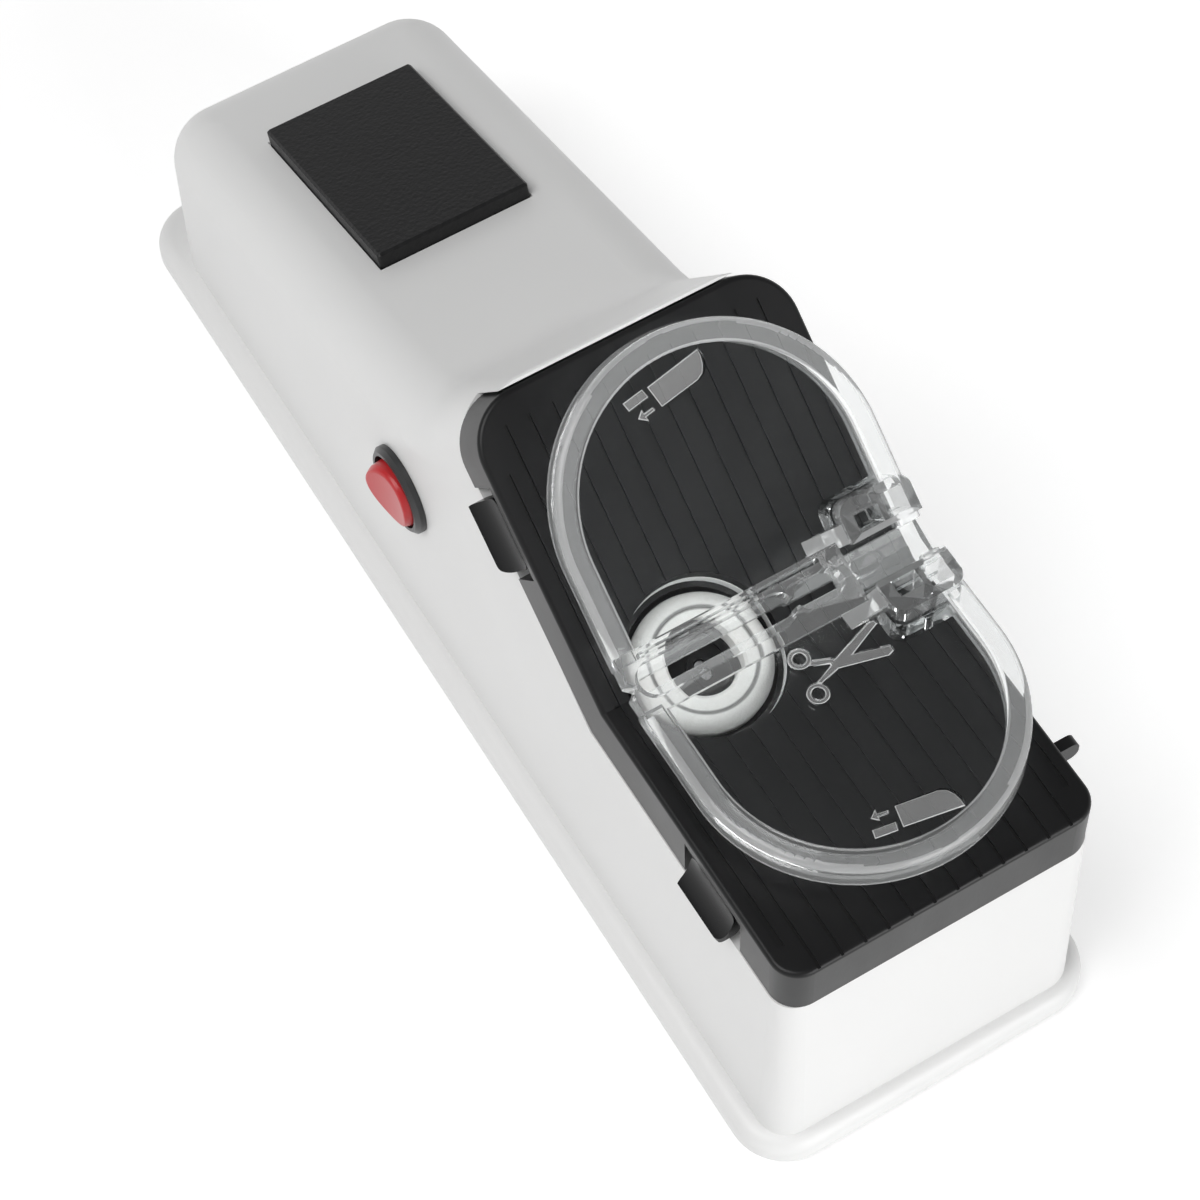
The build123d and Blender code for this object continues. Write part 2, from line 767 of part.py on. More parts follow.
def scissors_shape():
    """Plain outline of a pair of scissors, opening towards +X, its rings beside the bar."""
    with BuildSketch(mode=Mode.PRIVATE) as shape:
        with Locations((0.7, -9.9), (0.0, -16.0)):
            Circle(1.75)
        # arms
        with BuildLine():
            Polyline((1.2, -11.6), (1.9, -10.9), (4.6, -12.0), (4.8, -12.9), close=True)
        make_face()
        with BuildLine():
            Polyline((0.6, -14.4), (1.4, -14.9), (4.7, -13.9), (4.2, -13.0), close=True)
        make_face()
        # blades
        with BuildLine():
            Polyline((4.2, -12.8), (12.2, -9.9), (13.2, -9.9), (13.4, -10.7), (7.9, -13.1), (4.5, -14.1), close=True)
        make_face()
        with BuildLine():
            Polyline((4.5, -14.1), (11.9, -16.1), (13.1, -15.7), (12.9, -14.6), (7.9, -13.1), (4.2, -12.8), close=True)
        make_face()
        with Locations((0.7, -9.9), (0.0, -16.0)):
            Circle(0.95, mode=Mode.SUBTRACT)
    return shape.sketch


def knife_shape():
    """Plain outline of a broad knife near the lobe's end, with a small arrow beside its handle."""
    with BuildSketch(mode=Mode.PRIVATE) as shape:
        with BuildLine():
            Polyline((7.8, -41.6), (-1.4, -39.9), (-0.6, -36.3), (5.9, -37.4))
            ThreePointArc((5.9, -37.4), (7.8, -38.9), (7.8, -41.6))
        make_face()
        with BuildLine():
            Polyline((-5.3, -37.9), (-1.7, -38.5), (-2.1, -40.0), (-5.7, -39.4), close=True)
        make_face()
        with BuildLine():
            Polyline(
                (-4.6, -36.4),
                (-3.1, -35.3),
                (-3.3, -36.1),
                (-1.6, -36.4),
                (-1.8, -37.0),
                (-3.4, -36.7),
                (-3.5, -37.5),
                close=True,
            )
        make_face()
    return shape.sketch


lobe_blank = lobe_outline(0, bar_half_width + 0.6, guide_level - guide_rim_drop)
lobe_pocket = lobe_outline(guide_rim_width, bar_half_width + 0.6, guide_level + guide_floor)
lobe_under = lobe_outline(guide_rim_width, bar_half_width - 1, guide_level - guide_rim_drop)
with BuildPart() as guide_lobe:
    extrude(lobe_blank, amount=guide_rim_height)
    lobe_edge = guide_lobe.faces().sort_by(Axis.Z)[-1].edges()
    fillet([edge for edge in lobe_edge if edge.center().Y < fold_y - bar_half_width - 1], 1.2)
    extrude(lobe_pocket, amount=guide_rim_height, mode=Mode.SUBTRACT)
    inner_edge = [
        edge
        for edge in guide_lobe.faces().sort_by(Axis.Z)[-1].edges()
        if abs(edge.center().X - lobe_middle) < lobe_radius - guide_rim_width + 0.1
        and edge.center().Y > fold_y - guide_reach + guide_rim_width - 0.1
        and edge.center().Y < fold_y - bar_half_width - 2
    ]
    fillet(inner_edge, 0.5)
    extrude(lobe_under, amount=guide_rim_drop, mode=Mode.SUBTRACT)
    # plain pictogram of a knife with an arrow
    with BuildSketch(level_face.offset(guide_gap + guide_floor - pictogram_depth)):
        add(knife_shape())
    extrude(amount=1, mode=Mode.SUBTRACT)
    # block that holds the lobe at the right-hand side, with a ramp up to it
    block_run = block_far - block_near
    block_middle = ((block_left + block_right) / 2, fold_y - (block_near + block_far) / 2)
    with BuildSketch(Plane.XY.offset(plate_height + 0.02)):
        with Locations(block_middle):
            block_plan = Rectangle(block_width, block_run)
        fillet(block_plan.vertices().group_by(Axis.Y)[0], block_corner)
    extrude(amount=lobe_top + block_height)
    ramp_side = Plane(origin=(0, fold_y - block_near - 0.2, guide_level), x_dir=(1, 0, 0), z_dir=(0, -1, 0))
    with BuildSketch(ramp_side):
        with BuildLine():
            Polyline(
                (ramp_left, 0.4),
                (ramp_left, guide_floor + 0.1),
                (block_left + 1, lobe_top + block_height - guide_gap - 0.6),
                (block_left + 1, 0.4),
                close=True,
            )
        make_face()
    extrude(amount=min(ramp_width, block_run - 1.2))
    # hollows moulded into the block: a square one and an open window
    with BuildSketch(Plane.XY.offset(plate_height + 3.0)):
        with Locations((block_left + 0.33 * block_width, fold_y - block_near - 2.3)):
            Rectangle(0.34 * block_width, 2.8)
        with Locations((block_left + 0.72 * block_width, fold_y - block_near - 2.8)):
            Rectangle(0.3 * block_width, 3.8)
    extrude(amount=lobe_top + block_height, mode=Mode.SUBTRACT)
    # pilot hole of the screw that comes up through the plate
    with Locations((screw_x, fold_y - screw_run, plate_height)):
        Cylinder(
            0.85,
            guide_screw_reach + 0.2,
            align=(Align.CENTER, Align.CENTER, Align.MIN),
            mode=Mode.SUBTRACT,
        )

# Bar over the wheel, drawn as a section across the fold.
bar_low = guide_gap / cos(radians(half_slope))
bar_rise = tan(radians(half_slope))
bar_top = (lobe_top + bar_half_width * sin(radians(half_slope))) / cos(radians(half_slope)) + 0.4
bar_wall = 2.1
shelf_level = bar_low + bar_half_width * bar_rise + 0.6


def across_fold(x):
    """A plane across the plate at a place along X: its axes are the fold's side and the wheel axis."""
    return Plane(origin=valley.from_local_coords((x, 0, 0)), x_dir=valley.y_dir, z_dir=(1, 0, 0))


with BuildPart() as blade_guide:
    add(guide_lobe.part)
    mirror(guide_lobe.part, about=Plane(origin=valley.origin, z_dir=valley.y_dir))
    bar_edge_low = bar_low + bar_half_width * bar_rise
    with BuildSketch(across_fold(guide_left)):
        with BuildLine():
            Polyline(
                (0, bar_low),
                (bar_half_width, bar_edge_low),
                (bar_half_width, bar_top),
                (-bar_half_width, bar_top),
                (-bar_half_width, bar_edge_low),
                close=True,
            )
        make_face()
    extrude(amount=ramp_left + 4 - guide_left)
    # tongue between the blocks, with its oval boss
    with BuildSketch(across_fold(ramp_left)):
        with BuildLine():
            Polyline(
                (0, bar_low),
                (tongue_half_width, bar_low + tongue_half_width * bar_rise),
                (tongue_half_width, shelf_level + 1.0),
                (-tongue_half_width, shelf_level + 1.0),
                (-tongue_half_width, bar_low + tongue_half_width * bar_rise),
                close=True,
            )
        make_face()
    extrude(amount=tongue_right - ramp_left)
    with BuildSketch(valley.offset(shelf_level)):
        with Locations((ramp_left + 6.2, 0)):
            SlotOverall(4.8, 2.8)
    extrude(amount=bar_top - shelf_level + 0.6)
    # trough in the bar's top
    with BuildSketch(valley.offset(shelf_level)):
        with Locations(((guide_left + 5.4) / 2, 0)):
            SlotOverall(5.4 - guide_left - 3.0, 2 * (bar_half_width - bar_wall))
        with Locations((8.2, 0)):
            SlotOverall(8.0, 2 * (bar_half_width - bar_wall) - 1.0)
    extrude(amount=bar_top, mode=Mode.SUBTRACT)
    # narrow slot in the top of the bar's rear rail
    with BuildSketch(valley.offset(bar_top - rail_slot_depth)):
        with Locations(((guide_left + ramp_left) / 2 + 2.0, bar_half_width - bar_wall / 2)):
            Rectangle(ramp_left - guide_left - 3.0, rail_slot_width)
    extrude(amount=rail_slot_depth + 1, mode=Mode.SUBTRACT)
    # slot right through the bar, wider over the wheel
    with BuildSketch(valley.offset(0)):
        with Locations(((guide_left + 1.8 + 4.0) / 2, 0)):
            SlotOverall(4.0 - guide_left - 1.8, 2 * slot_wide_half)
        with Locations((7.0, 0)):
            Rectangle(10.0, 2 * slot_half_width)
    extrude(amount=bar_top + 2, mode=Mode.SUBTRACT)
    # small notch where the two lobes meet at the left
    with BuildSketch(valley.offset(bar_low - 2)):
        with BuildLine():
            Polyline((guide_left - 1, -1.8), (guide_left + 1.2, 0), (guide_left - 1, 1.8), close=True)
        make_face()
    extrude(amount=bar_top + 4, mode=Mode.SUBTRACT)
    # plain pictogram of scissors on the front lobe
    with BuildSketch(level_face.offset(guide_gap + guide_floor - pictogram_depth)):
        add(scissors_shape())
    extrude(amount=1, mode=Mode.SUBTRACT)
write(blade_guide.part, "blade_guide")

# The two screws that hold the guide, put in from under the plate.
with BuildPart() as guide_screws:
    for face, side in ((level_face, -1), (slope_face, 1)):
        with BuildSketch(face.offset(-plate_thick + 0.05)):
            with Locations((screw_x, side * screw_run)):
                Circle(1.7)
        extrude(amount=1.1)
        with BuildSketch(face.offset(-plate_thick + 1)):
            with Locations((screw_x, side * screw_run)):
                Circle(0.83)
        extrude(amount=plate_thick - 1 + guide_screw_reach)
        with BuildSketch(face.offset(-plate_thick)):
            with Locations((screw_x, side * screw_run)):
                Rectangle(2.2, 0.5)
        extrude(amount=0.6, mode=Mode.SUBTRACT)
write(guide_screws.part, "guide_screws")

# ---- Grinding wheel on its hub and shaft ---------------------------------------------
axle_section = Plane(origin=axle.origin, x_dir=(1, 0, 0), z_dir=valley.y_dir * -1)
axle_line = Axis(origin=axle.origin, direction=axle.z_dir)
with BuildPart() as grinding_wheel:
    with BuildSketch(axle_section):
        with BuildLine():
            Polyline(
                (wheel_bore_radius, wheel_bottom),
                (wheel_bore_radius, wheel_top - wheel_step - 0.4),
                (wheel_bore_radius + 0.4, wheel_top - wheel_step),
                (wheel_land_radius - 0.1, wheel_top - wheel_step),
                (wheel_land_radius, wheel_top),
            )
            TangentArc((wheel_land_radius, wheel_top), (wheel_radius, wheel_shoulder), tangent=(1, 0))
            Polyline((wheel_radius, wheel_shoulder), (wheel_radius, wheel_bottom), (wheel_bore_radius, wheel_bottom))
        make_face()
    revolve(axis=axle_line)
write(grinding_wheel.part, "grinding_wheel")

hub_top = wheel_top - hub_recess
with BuildPart() as wheel_hub:
    with BuildSketch(axle.offset(wheel_bottom - press_gap - hub_flange_thick)):
        Circle(hub_flange_radius)
    extrude(amount=hub_flange_thick)
    with BuildSketch(axle.offset(wheel_bottom - press_gap)):
        Circle(wheel_bore_radius - press_gap)
    extrude(amount=hub_top - wheel_bottom + press_gap)
    hub_rim = wheel_hub.faces().filter_by(axle).sort_by(Axis.Z)[-1].edges()
    chamfer(hub_rim, 0.4)
    # dished top, so that the middle of the wheel looks hollow
    with BuildSketch(axle.offset(hub_top - 0.8)):
        Circle(wheel_bore_radius - 1.4)
        Circle(shaft_radius + 1.0, mode=Mode.SUBTRACT)
    extrude(amount=2, mode=Mode.SUBTRACT)
    with BuildSketch(axle.offset(wheel_bottom - 4)):
        Circle(shaft_radius + press_gap)
    extrude(amount=12, mode=Mode.SUBTRACT)
write(wheel_hub.part, "wheel_hub")

motor_rear = motor_front - motor_length
shaft_start = motor_rear - cap_thick - 1.0
with BuildPart() as motor_shaft:
    with BuildSketch(axle.offset(shaft_start)):
        Circle(shaft_radius)
    extrude(amount=hub_top - 0.4 - shaft_start)
    chamfer(motor_shaft.faces().filter_by(axle).edges(), 0.2)
write(motor_shaft.part, "motor_shaft")

# ---- Wheel well under the roof -------------------------------------------------------
under_roof = side_profile(
    [(ahead, 0), *below_plate(plate_thick + neck_wall + 2 * gap, ahead, slope_run), (behind, 0)]
)
with BuildPart() as wheel_well:
    with BuildSketch(axle.offset(motor_front)):
        Circle(well_outer)
        with Locations(*well_ear_places):
            Circle(3.4)
        Rectangle(8, 2 * (well_outer + 3.0))
    extrude(amount=well_floor)
    with BuildSketch(axle.offset(motor_front)):
        Circle(well_outer)
    extrude(amount=30)
    extrude(under_roof, amount=far_width, both=True, mode=Mode.INTERSECT)
    with BuildSketch(axle.offset(motor_front + well_floor)):
        Circle(well_inner)
    extrude(amount=30, mode=Mode.SUBTRACT)
    with BuildSketch(axle.offset(motor_front)):
        Circle(5.0)
        with Locations((-motor_screw_spread, 0), (motor_screw_spread, 0)):
            Circle(1.3)
        with Locations(*well_ear_places):
            Circle(1.2)
    extrude(amount=well_floor, mode=Mode.SUBTRACT)
write(wheel_well.part, "wheel_well")

with BuildPart() as well_screws:
    with BuildSketch(axle.offset(motor_front - 1.3)):
        with Locations(*well_ear_places):
            Circle(2.0)
    extrude(amount=1.28)
    with BuildSketch(axle.offset(motor_front - 0.5)):
        with Locations(*well_ear_places):
            Circle(0.88)
    extrude(amount=well_floor + 6)
    with BuildSketch(axle.offset(motor_front - 1.3)):
        with Locations(*well_ear_places):
            Rectangle(2.4, 0.6)
            Rectangle(0.6, 2.4)
    extrude(amount=0.6, mode=Mode.SUBTRACT)
write(well_screws.part, "well_screws")

with BuildPart() as motor_screws:
    with BuildSketch(axle.offset(motor_front + well_floor + 0.02)):
        with Locations((-motor_screw_spread, 0), (motor_screw_spread, 0)):
            Circle(2.0)
    extrude(amount=1.2)
    with BuildSketch(axle.offset(motor_front - 1.0)):
        with Locations((-motor_screw_spread, 0), (motor_screw_spread, 0)):
            Circle(0.98)
    extrude(amount=well_floor + 1.6)
    with BuildSketch(axle.offset(motor_front + well_floor + 0.7)):
        with Locations((-motor_screw_spread, 0), (motor_screw_spread, 0)):
            Rectangle(2.4, 0.6)
            Rectangle(0.6, 2.4)
    extrude(amount=2, mode=Mode.SUBTRACT)
write(motor_screws.part, "motor_screws")

# ---- Motor ---------------------------------------------------------------------------
front_wall = 1.2
motor_face = motor_front - 0.02
can_inner = motor_radius - can_wall
flat_inner = motor_flat - can_wall
with BuildPart() as motor_can:
    with BuildSketch(axle.offset(motor_rear)):
        Circle(motor_radius)
        Rectangle(3 * motor_radius, 2 * motor_flat, mode=Mode.INTERSECT)
    extrude(amount=motor_face - motor_rear)
    with BuildSketch(axle.offset(motor_rear)):
        Circle(can_inner)
        Rectangle(3 * motor_radius, 2 * flat_inner, mode=Mode.INTERSECT)
    extrude(amount=motor_length - front_wall, mode=Mode.SUBTRACT)
    with BuildSketch(axle.offset(motor_face - 0.5)):
        Circle(bush_radius + 1.2)
    extrude(amount=0.5 + bush_length - front_wall)
    with BuildSketch(axle.offset(motor_front - front_wall)):
        Circle(bush_radius)
        with Locations((-motor_screw_spread, 0), (motor_screw_spread, 0)):
            Circle(1.0)
    extrude(amount=6, mode=Mode.SUBTRACT)
write(motor_can.part, "motor_can")

terminal_spread = 7.0
terminal_side = 4.2
cap_rear = motor_rear - cap_thick + 1.0
with BuildPart() as motor_end_cap:
    with BuildSketch(axle.offset(cap_rear)):
        Circle(motor_radius - 0.2)
        Rectangle(3 * motor_radius, 2 * motor_flat - 0.4, mode=Mode.INTERSECT)
    extrude(amount=cap_thick - 1.0 - 0.02)
    with BuildSketch(axle.offset(motor_rear - 0.5)):
        Circle(can_inner - 0.05)
        Rectangle(3 * motor_radius, 2 * flat_inner - 0.1, mode=Mode.INTERSECT)
    extrude(amount=1.5)
    with BuildSketch(axle.offset(cap_rear - 0.8)):
        Circle(bush_radius + 1.2)
    extrude(amount=1.5)
    with BuildSketch(axle.offset(cap_rear - 2)):
        Circle(bush_radius)
        with Locations((-terminal_spread, terminal_side), (terminal_spread, terminal_side)):
            Rectangle(0.6, 3.0)
    extrude(amount=cap_thick + 4, mode=Mode.SUBTRACT)
write(motor_end_cap.part, "motor_end_cap")

with BuildPart() as motor_bushes:
    with BuildSketch(axle.offset(motor_front - front_wall)):
        Circle(bush_radius - press_gap)
        Circle(shaft_radius + running_gap, mode=Mode.SUBTRACT)
    extrude(amount=bush_length)
    with BuildSketch(axle.offset(cap_rear - 0.6)):
        Circle(bush_radius - press_gap)
        Circle(shaft_radius + running_gap, mode=Mode.SUBTRACT)
    extrude(amount=bush_length)
write(motor_bushes.part, "motor_bushes")

rotor_start = motor_front - 3.4 - rotor_length
magnet_inner = rotor_radius + magnet_gap
magnet_outer = min(magnet_inner + magnet_thick, can_inner - 0.05)
with BuildPart() as motor_magnets:
    with BuildSketch(axle.offset(rotor_start)):
        Circle(magnet_outer)
        Circle(magnet_inner, mode=Mode.SUBTRACT)
        Rectangle(3 * motor_radius, 2 * (flat_inner - 1.2), mode=Mode.INTERSECT)
        Rectangle(2 * rotor_radius * 0.7, 2 * motor_radius, mode=Mode.SUBTRACT)
    extrude(amount=rotor_length)
write(motor_magnets.part, "motor_magnets")

with BuildPart() as rotor:
    with BuildSketch(axle.offset(rotor_start)):
        Circle(rotor_radius)
        with PolarLocations(rotor_radius, 3, start_angle=90):
            Rectangle(5.0, 1.4, mode=Mode.SUBTRACT)
        with PolarLocations(rotor_radius - 3.0, 3, start_angle=90):
            Circle(1.9, mode=Mode.SUBTRACT)
        Circle(shaft_radius + press_gap, mode=Mode.SUBTRACT)
    extrude(amount=rotor_length)
write(rotor.part, "rotor")

with BuildPart() as rotor_windings:
    with BuildSketch(axle.offset(rotor_start - 1.4)):
        with PolarLocations(rotor_radius - 3.0, 3, start_angle=90):
            Circle(1.9 - press_gap)
    extrude(amount=rotor_length + 2.8)
    for level in (rotor_start - 1.5, rotor_start + rotor_length + 0.05):
        with BuildSketch(axle.offset(level)):
            Circle(rotor_radius - 1.4)
            Circle(shaft_radius + 0.8, mode=Mode.SUBTRACT)
        extrude(amount=1.45)
write(rotor_windings.part, "rotor_windings")

commutator_start = motor_rear + 1.6
with BuildPart() as commutator:
    with BuildSketch(axle.offset(commutator_start)):
        Circle(commutator_radius)
        with PolarLocations(commutator_radius, 3, start_angle=30):
            Rectangle(1.6, 0.4, mode=Mode.SUBTRACT)
        Circle(shaft_radius + press_gap, mode=Mode.SUBTRACT)
    extrude(amount=commutator_length)
write(commutator.part, "commutator")

tab_start = cap_rear - 4.0
tab_end = commutator_start + commutator_length - 1.0
brush_gap = commutator_radius + 0.3
with BuildPart() as motor_terminals:
    for side in (-1, 1):
        with BuildSketch(axle.offset(tab_start)):
            with Locations((side * terminal_spread, terminal_side)):
                Rectangle(0.5, 2.6)
        extrude(amount=tab_end - tab_start)
        # brush arm from the terminal to the commutator
        with BuildSketch(axle.offset(commutator_start + 0.4)):
            with BuildLine():
                Polyline(
                    (side * terminal_spread, terminal_side + 1.1),
                    (side * terminal_spread, terminal_side + 0.4),
                    (side * (brush_gap + 0.5), 1.6),
                    (side * (brush_gap + 0.5), -2.4),
                    (side * brush_gap, -2.4),
                    (side * brush_gap, 2.0),
                    close=True,
                )
            make_face()
        extrude(amount=commutator_length - 1.6)
write(motor_terminals.part, "motor_terminals")

# Suppression capacitor across the terminals.
capacitor_level = cap_rear - 3.0
with BuildPart() as capacitor:
    with BuildSketch(
        Plane(origin=axle.from_local_coords((0, 7.4, capacitor_level)), x_dir=(1, 0, 0), z_dir=valley.y_dir)
    ):
        Circle(3.0)
    extrude(amount=1.2, both=True)
    fillet(capacitor.edges(), 0.8)
    leg_reach = terminal_spread - 0.62
    for side in (-1, 1):
        leg_path = [
            axle.from_local_coords((side * 2.2, 7.4, capacitor_level)),
            axle.from_local_coords((side * 4.4, 7.4, capacitor_level)),
            axle.from_local_coords((side * leg_reach, terminal_side + 0.9, capacitor_level)),
        ]
        with BuildLine() as leg_line:
            Polyline(*leg_path)
        with BuildSketch(Plane(origin=leg_line.line @ 0, z_dir=leg_line.line % 0)):
            Circle(0.3)
        sweep(path=leg_line.line, transition=Transition.RIGHT)
write(capacitor.part, "capacitor")

# ---- Power switch --------------------------------------------------------------------
pin_level = bezel_height - rocker_pin_depth
rocker_reach = bezel_hole - 0.4
rocker_room = 6.4
with BuildPart() as switch_body:
    with BuildSketch(wall_lean.offset(0.05)):
        Circle(bezel_radius)
    extrude(amount=bezel_height - 0.05)
    bezel_edge = switch_body.faces().filter_by(wall_lean).sort_by(Axis.X)[0].edges()
    chamfer(bezel_edge, 0.7)
    with BuildSketch(wall_lean.offset(-switch_depth)):
        Circle(switch_body_radius)
    extrude(amount=switch_depth + 1)
    with BuildSketch(wall_lean.offset(bezel_height - rocker_room)):
        Circle(bezel_hole)
    extrude(amount=rocker_room + 2, mode=Mode.SUBTRACT)
    # blind sockets of the rocker's pin
    socket_line = Plane(
        origin=wall_lean.from_local_coords((0, -switch_body_radius - 0.15, pin_level)),
        x_dir=wall_lean.x_dir,
        z_dir=wall_lean.y_dir,
    )
    with BuildSketch(socket_line):
        Circle(rocker_pin_radius + running_gap)
    extrude(amount=2 * switch_body_radius + 0.3, mode=Mode.SUBTRACT)
    # seats of the two terminals
    with BuildSketch(wall_lean.offset(-switch_depth)):
        with Locations((0, -3.5), (0, 3.5)):
            Rectangle(5.0, 1.0)
    extrude(amount=3.0, mode=Mode.SUBTRACT)
write(switch_body.part, "switch_body")

# Rocker: a shallow saddle on a ball-shaped underside, resting with its rear end out.
rocker_centre = Plane(
    origin=wall_lean.from_local_coords((0, 0, pin_level)),
    x_dir=wall_lean.x_dir,
    z_dir=wall_lean.z_dir,
)
rest_plane = Plane(
    origin=rocker_centre.origin,
    x_dir=rocker_centre.x_dir * cos(radians(rocker_tilt)) + rocker_centre.z_dir * sin(radians(rocker_tilt)),
    z_dir=rocker_centre.z_dir * cos(radians(rocker_tilt)) - rocker_centre.x_dir * sin(radians(rocker_tilt)),
)
v_rise = rocker_reach * tan(radians(rocker_tilt))
with BuildPart() as rocker:
    with BuildSketch(
        Plane(
            origin=rest_plane.from_local_coords((0, -rocker_reach, 0)),
            x_dir=rest_plane.x_dir,
            z_dir=rest_plane.y_dir,
        )
    ):
        with BuildLine():
            Polyline(
                (-rocker_reach, -rocker_rise - v_rise),
                (-rocker_reach, 3.4),
                (rocker_reach, 3.4),
                (rocker_reach, -rocker_rise - v_rise),
            )
            ThreePointArc(
                (rocker_reach, -rocker_rise - v_rise),
                (0, -rocker_rise),
                (-rocker_reach, -rocker_rise - v_rise),
            )
        make_face()
    extrude(amount=2 * rocker_reach)
    with BuildSketch(rest_plane.offset(-4)):
        Circle(rocker_reach - 0.25)
    extrude(amount=10, mode=Mode.INTERSECT)
    saddle = [edge for edge in rocker.edges() if rest_plane.to_local_coords(edge.center()).Z > 1]
    fillet(saddle, rocker_round)
    with Locations(rest_plane):
        Sphere(rocker_reach + 0.05, mode=Mode.INTERSECT)
    pin_line = Plane(
        origin=rocker_centre.from_local_coords((0, -switch_body_radius, 0)),
        x_dir=rocker_centre.x_dir,
        z_dir=rocker_centre.y_dir,
    )
    with BuildSketch(pin_line):
        Circle(rocker_pin_radius)
    extrude(amount=2 * switch_body_radius)
write(rocker.part, "rocker")

switch_tail = -switch_depth - 6.0
with BuildPart() as switch_terminals:
    with BuildSketch(wall_lean.offset(switch_tail)):
        with Locations((0, -3.5), (0, 3.5)):
            Rectangle(4.8, 0.8)
    extrude(amount=6.0 + 2.9)
    with BuildSketch(
        Plane(origin=wall_lean.from_local_coords((0, 0, switch_tail + 1.8)), x_dir=wall_lean.x_dir, z_dir=wall_lean.y_dir)
    ):
        Circle(0.8)
    extrude(amount=8, both=True, mode=Mode.SUBTRACT)
write(switch_terminals.part, "switch_terminals")

# ---- Batteries and their compartment -------------------------------------------------
box_level = foot_height + floor_thick
cell_drop = foot_height + door_thick + 0.4
cell_axis_level = cell_drop + 0.3 + cell_radius
box_inner_top = cell_axis_level + cell_radius + 0.4
bay_front_y = bay_middle_y - bay_length / 2
bay_rear_y = bay_middle_y + bay_length / 2
cell_x = cell_radius + cell_gap / 2
tab_slot_level = 13.5
with BuildPart() as battery_box:
    with Locations((0, bay_middle_y, box_level)):
        Box(
            2 * (door_half_width + box_wall),
            bay_length + 2 * box_wall,
            box_inner_top + box_wall - box_level,
            align=(Align.CENTER, Align.CENTER, Align.MIN),
        )
    upright = battery_box.edges().filter_by(Axis.Z)
    fillet(upright, 1.2)
    fillet(battery_box.faces().sort_by(Axis.Z)[-1].edges(), 0.8)
    with Locations((0, bay_middle_y, box_level)):
        Box(
            2 * door_half_width,
            bay_length,
            box_inner_top - box_level,
            align=(Align.CENTER, Align.CENTER, Align.MIN),
            mode=Mode.SUBTRACT,
        )
    # slots for the solder tabs of the contacts
    with Locations((-cell_x, bay_front_y, tab_slot_level), (cell_x, bay_front_y, tab_slot_level)):
        Box(3.6, 4 * box_wall, 0.9, mode=Mode.SUBTRACT)
write(battery_box.part, "battery_box")

cell_pitch = cell_length + cell_nub_length
cells_start_y = bay_front_y + spring_room
cell_clear = 0.05
with BuildPart() as aa_cells:
    for side in (-1, 1):
        for index in range(2):
            low_y = cells_start_y + index * cell_pitch
            body_y = low_y if side < 0 else low_y + cell_nub_length
            with BuildSketch(Plane.XZ.offset(-body_y - cell_clear)):
                with Locations((side * cell_x, cell_axis_level)):
                    Circle(cell_radius)
            extrude(amount=-(cell_length - 2 * cell_clear))
            # the positive nub grows out of its own cell and stops short of the next one
            nub_y = body_y + cell_length - 1.0 if side < 0 else low_y + cell_clear
            with BuildSketch(Plane.XZ.offset(-nub_y)):
                with Locations((side * cell_x, cell_axis_level)):
                    Circle(cell_nub_radius)
            extrude(amount=-(cell_nub_length + 1.0 - cell_clear))
write(aa_cells.part, "aa_cells")

leaf_reach = spring_room - 0.3
with BuildPart() as contact_link:
    link_y = bay_rear_y - 0.02
    with Locations((0, link_y - contact_thick / 2, cell_axis_level)):
        Box(4 * cell_x - 3.0, contact_thick, 8.0)
    for side in (-1, 1):
        leaf_plane = Plane(origin=(side * cell_x, 0, cell_axis_level), x_dir=(0, 1, 0), z_dir=(1, 0, 0))
        with BuildSketch(leaf_plane):
            with BuildLine():
                Polyline(
                    (link_y - contact_thick / 2, -3.6),
                    (link_y - leaf_reach, 0),
                    (link_y - contact_thick / 2, 3.6),
                    (link_y - contact_thick / 2, 3.0),
                    (link_y - leaf_reach + contact_thick, 0),
                    (link_y - contact_thick / 2, -3.0),
                    close=True,
                )
            make_face()
        extrude(amount=1.6, both=True)
write(contact_link.part, "contact_link")

with BuildPart() as contact_terminals:
    head_y = bay_front_y + 0.02
    for side in (-1, 1):
        with Locations((side * cell_x, head_y + contact_thick / 2, cell_axis_level)):
            Box(9.0, contact_thick, 8.0)
        leaf_plane = Plane(origin=(side * cell_x, 0, cell_axis_level), x_dir=(0, 1, 0), z_dir=(1, 0, 0))
        with BuildSketch(leaf_plane):
            with BuildLine():
                Polyline(
                    (head_y + contact_thick / 2, -3.6),
                    (head_y + leaf_reach, 0),
                    (head_y + contact_thick / 2, 3.6),
                    (head_y + contact_thick / 2, 3.0),
                    (head_y + leaf_reach - contact_thick, 0),
                    (head_y + contact_thick / 2, -3.0),
                    close=True,
                )
            make_face()
        extrude(amount=1.6, both=True)
        with Locations((side * cell_x, head_y - 2.4, tab_slot_level)):
            Box(3.2, 5.4, 0.5)
write(contact_terminals.part, "contact_terminals")

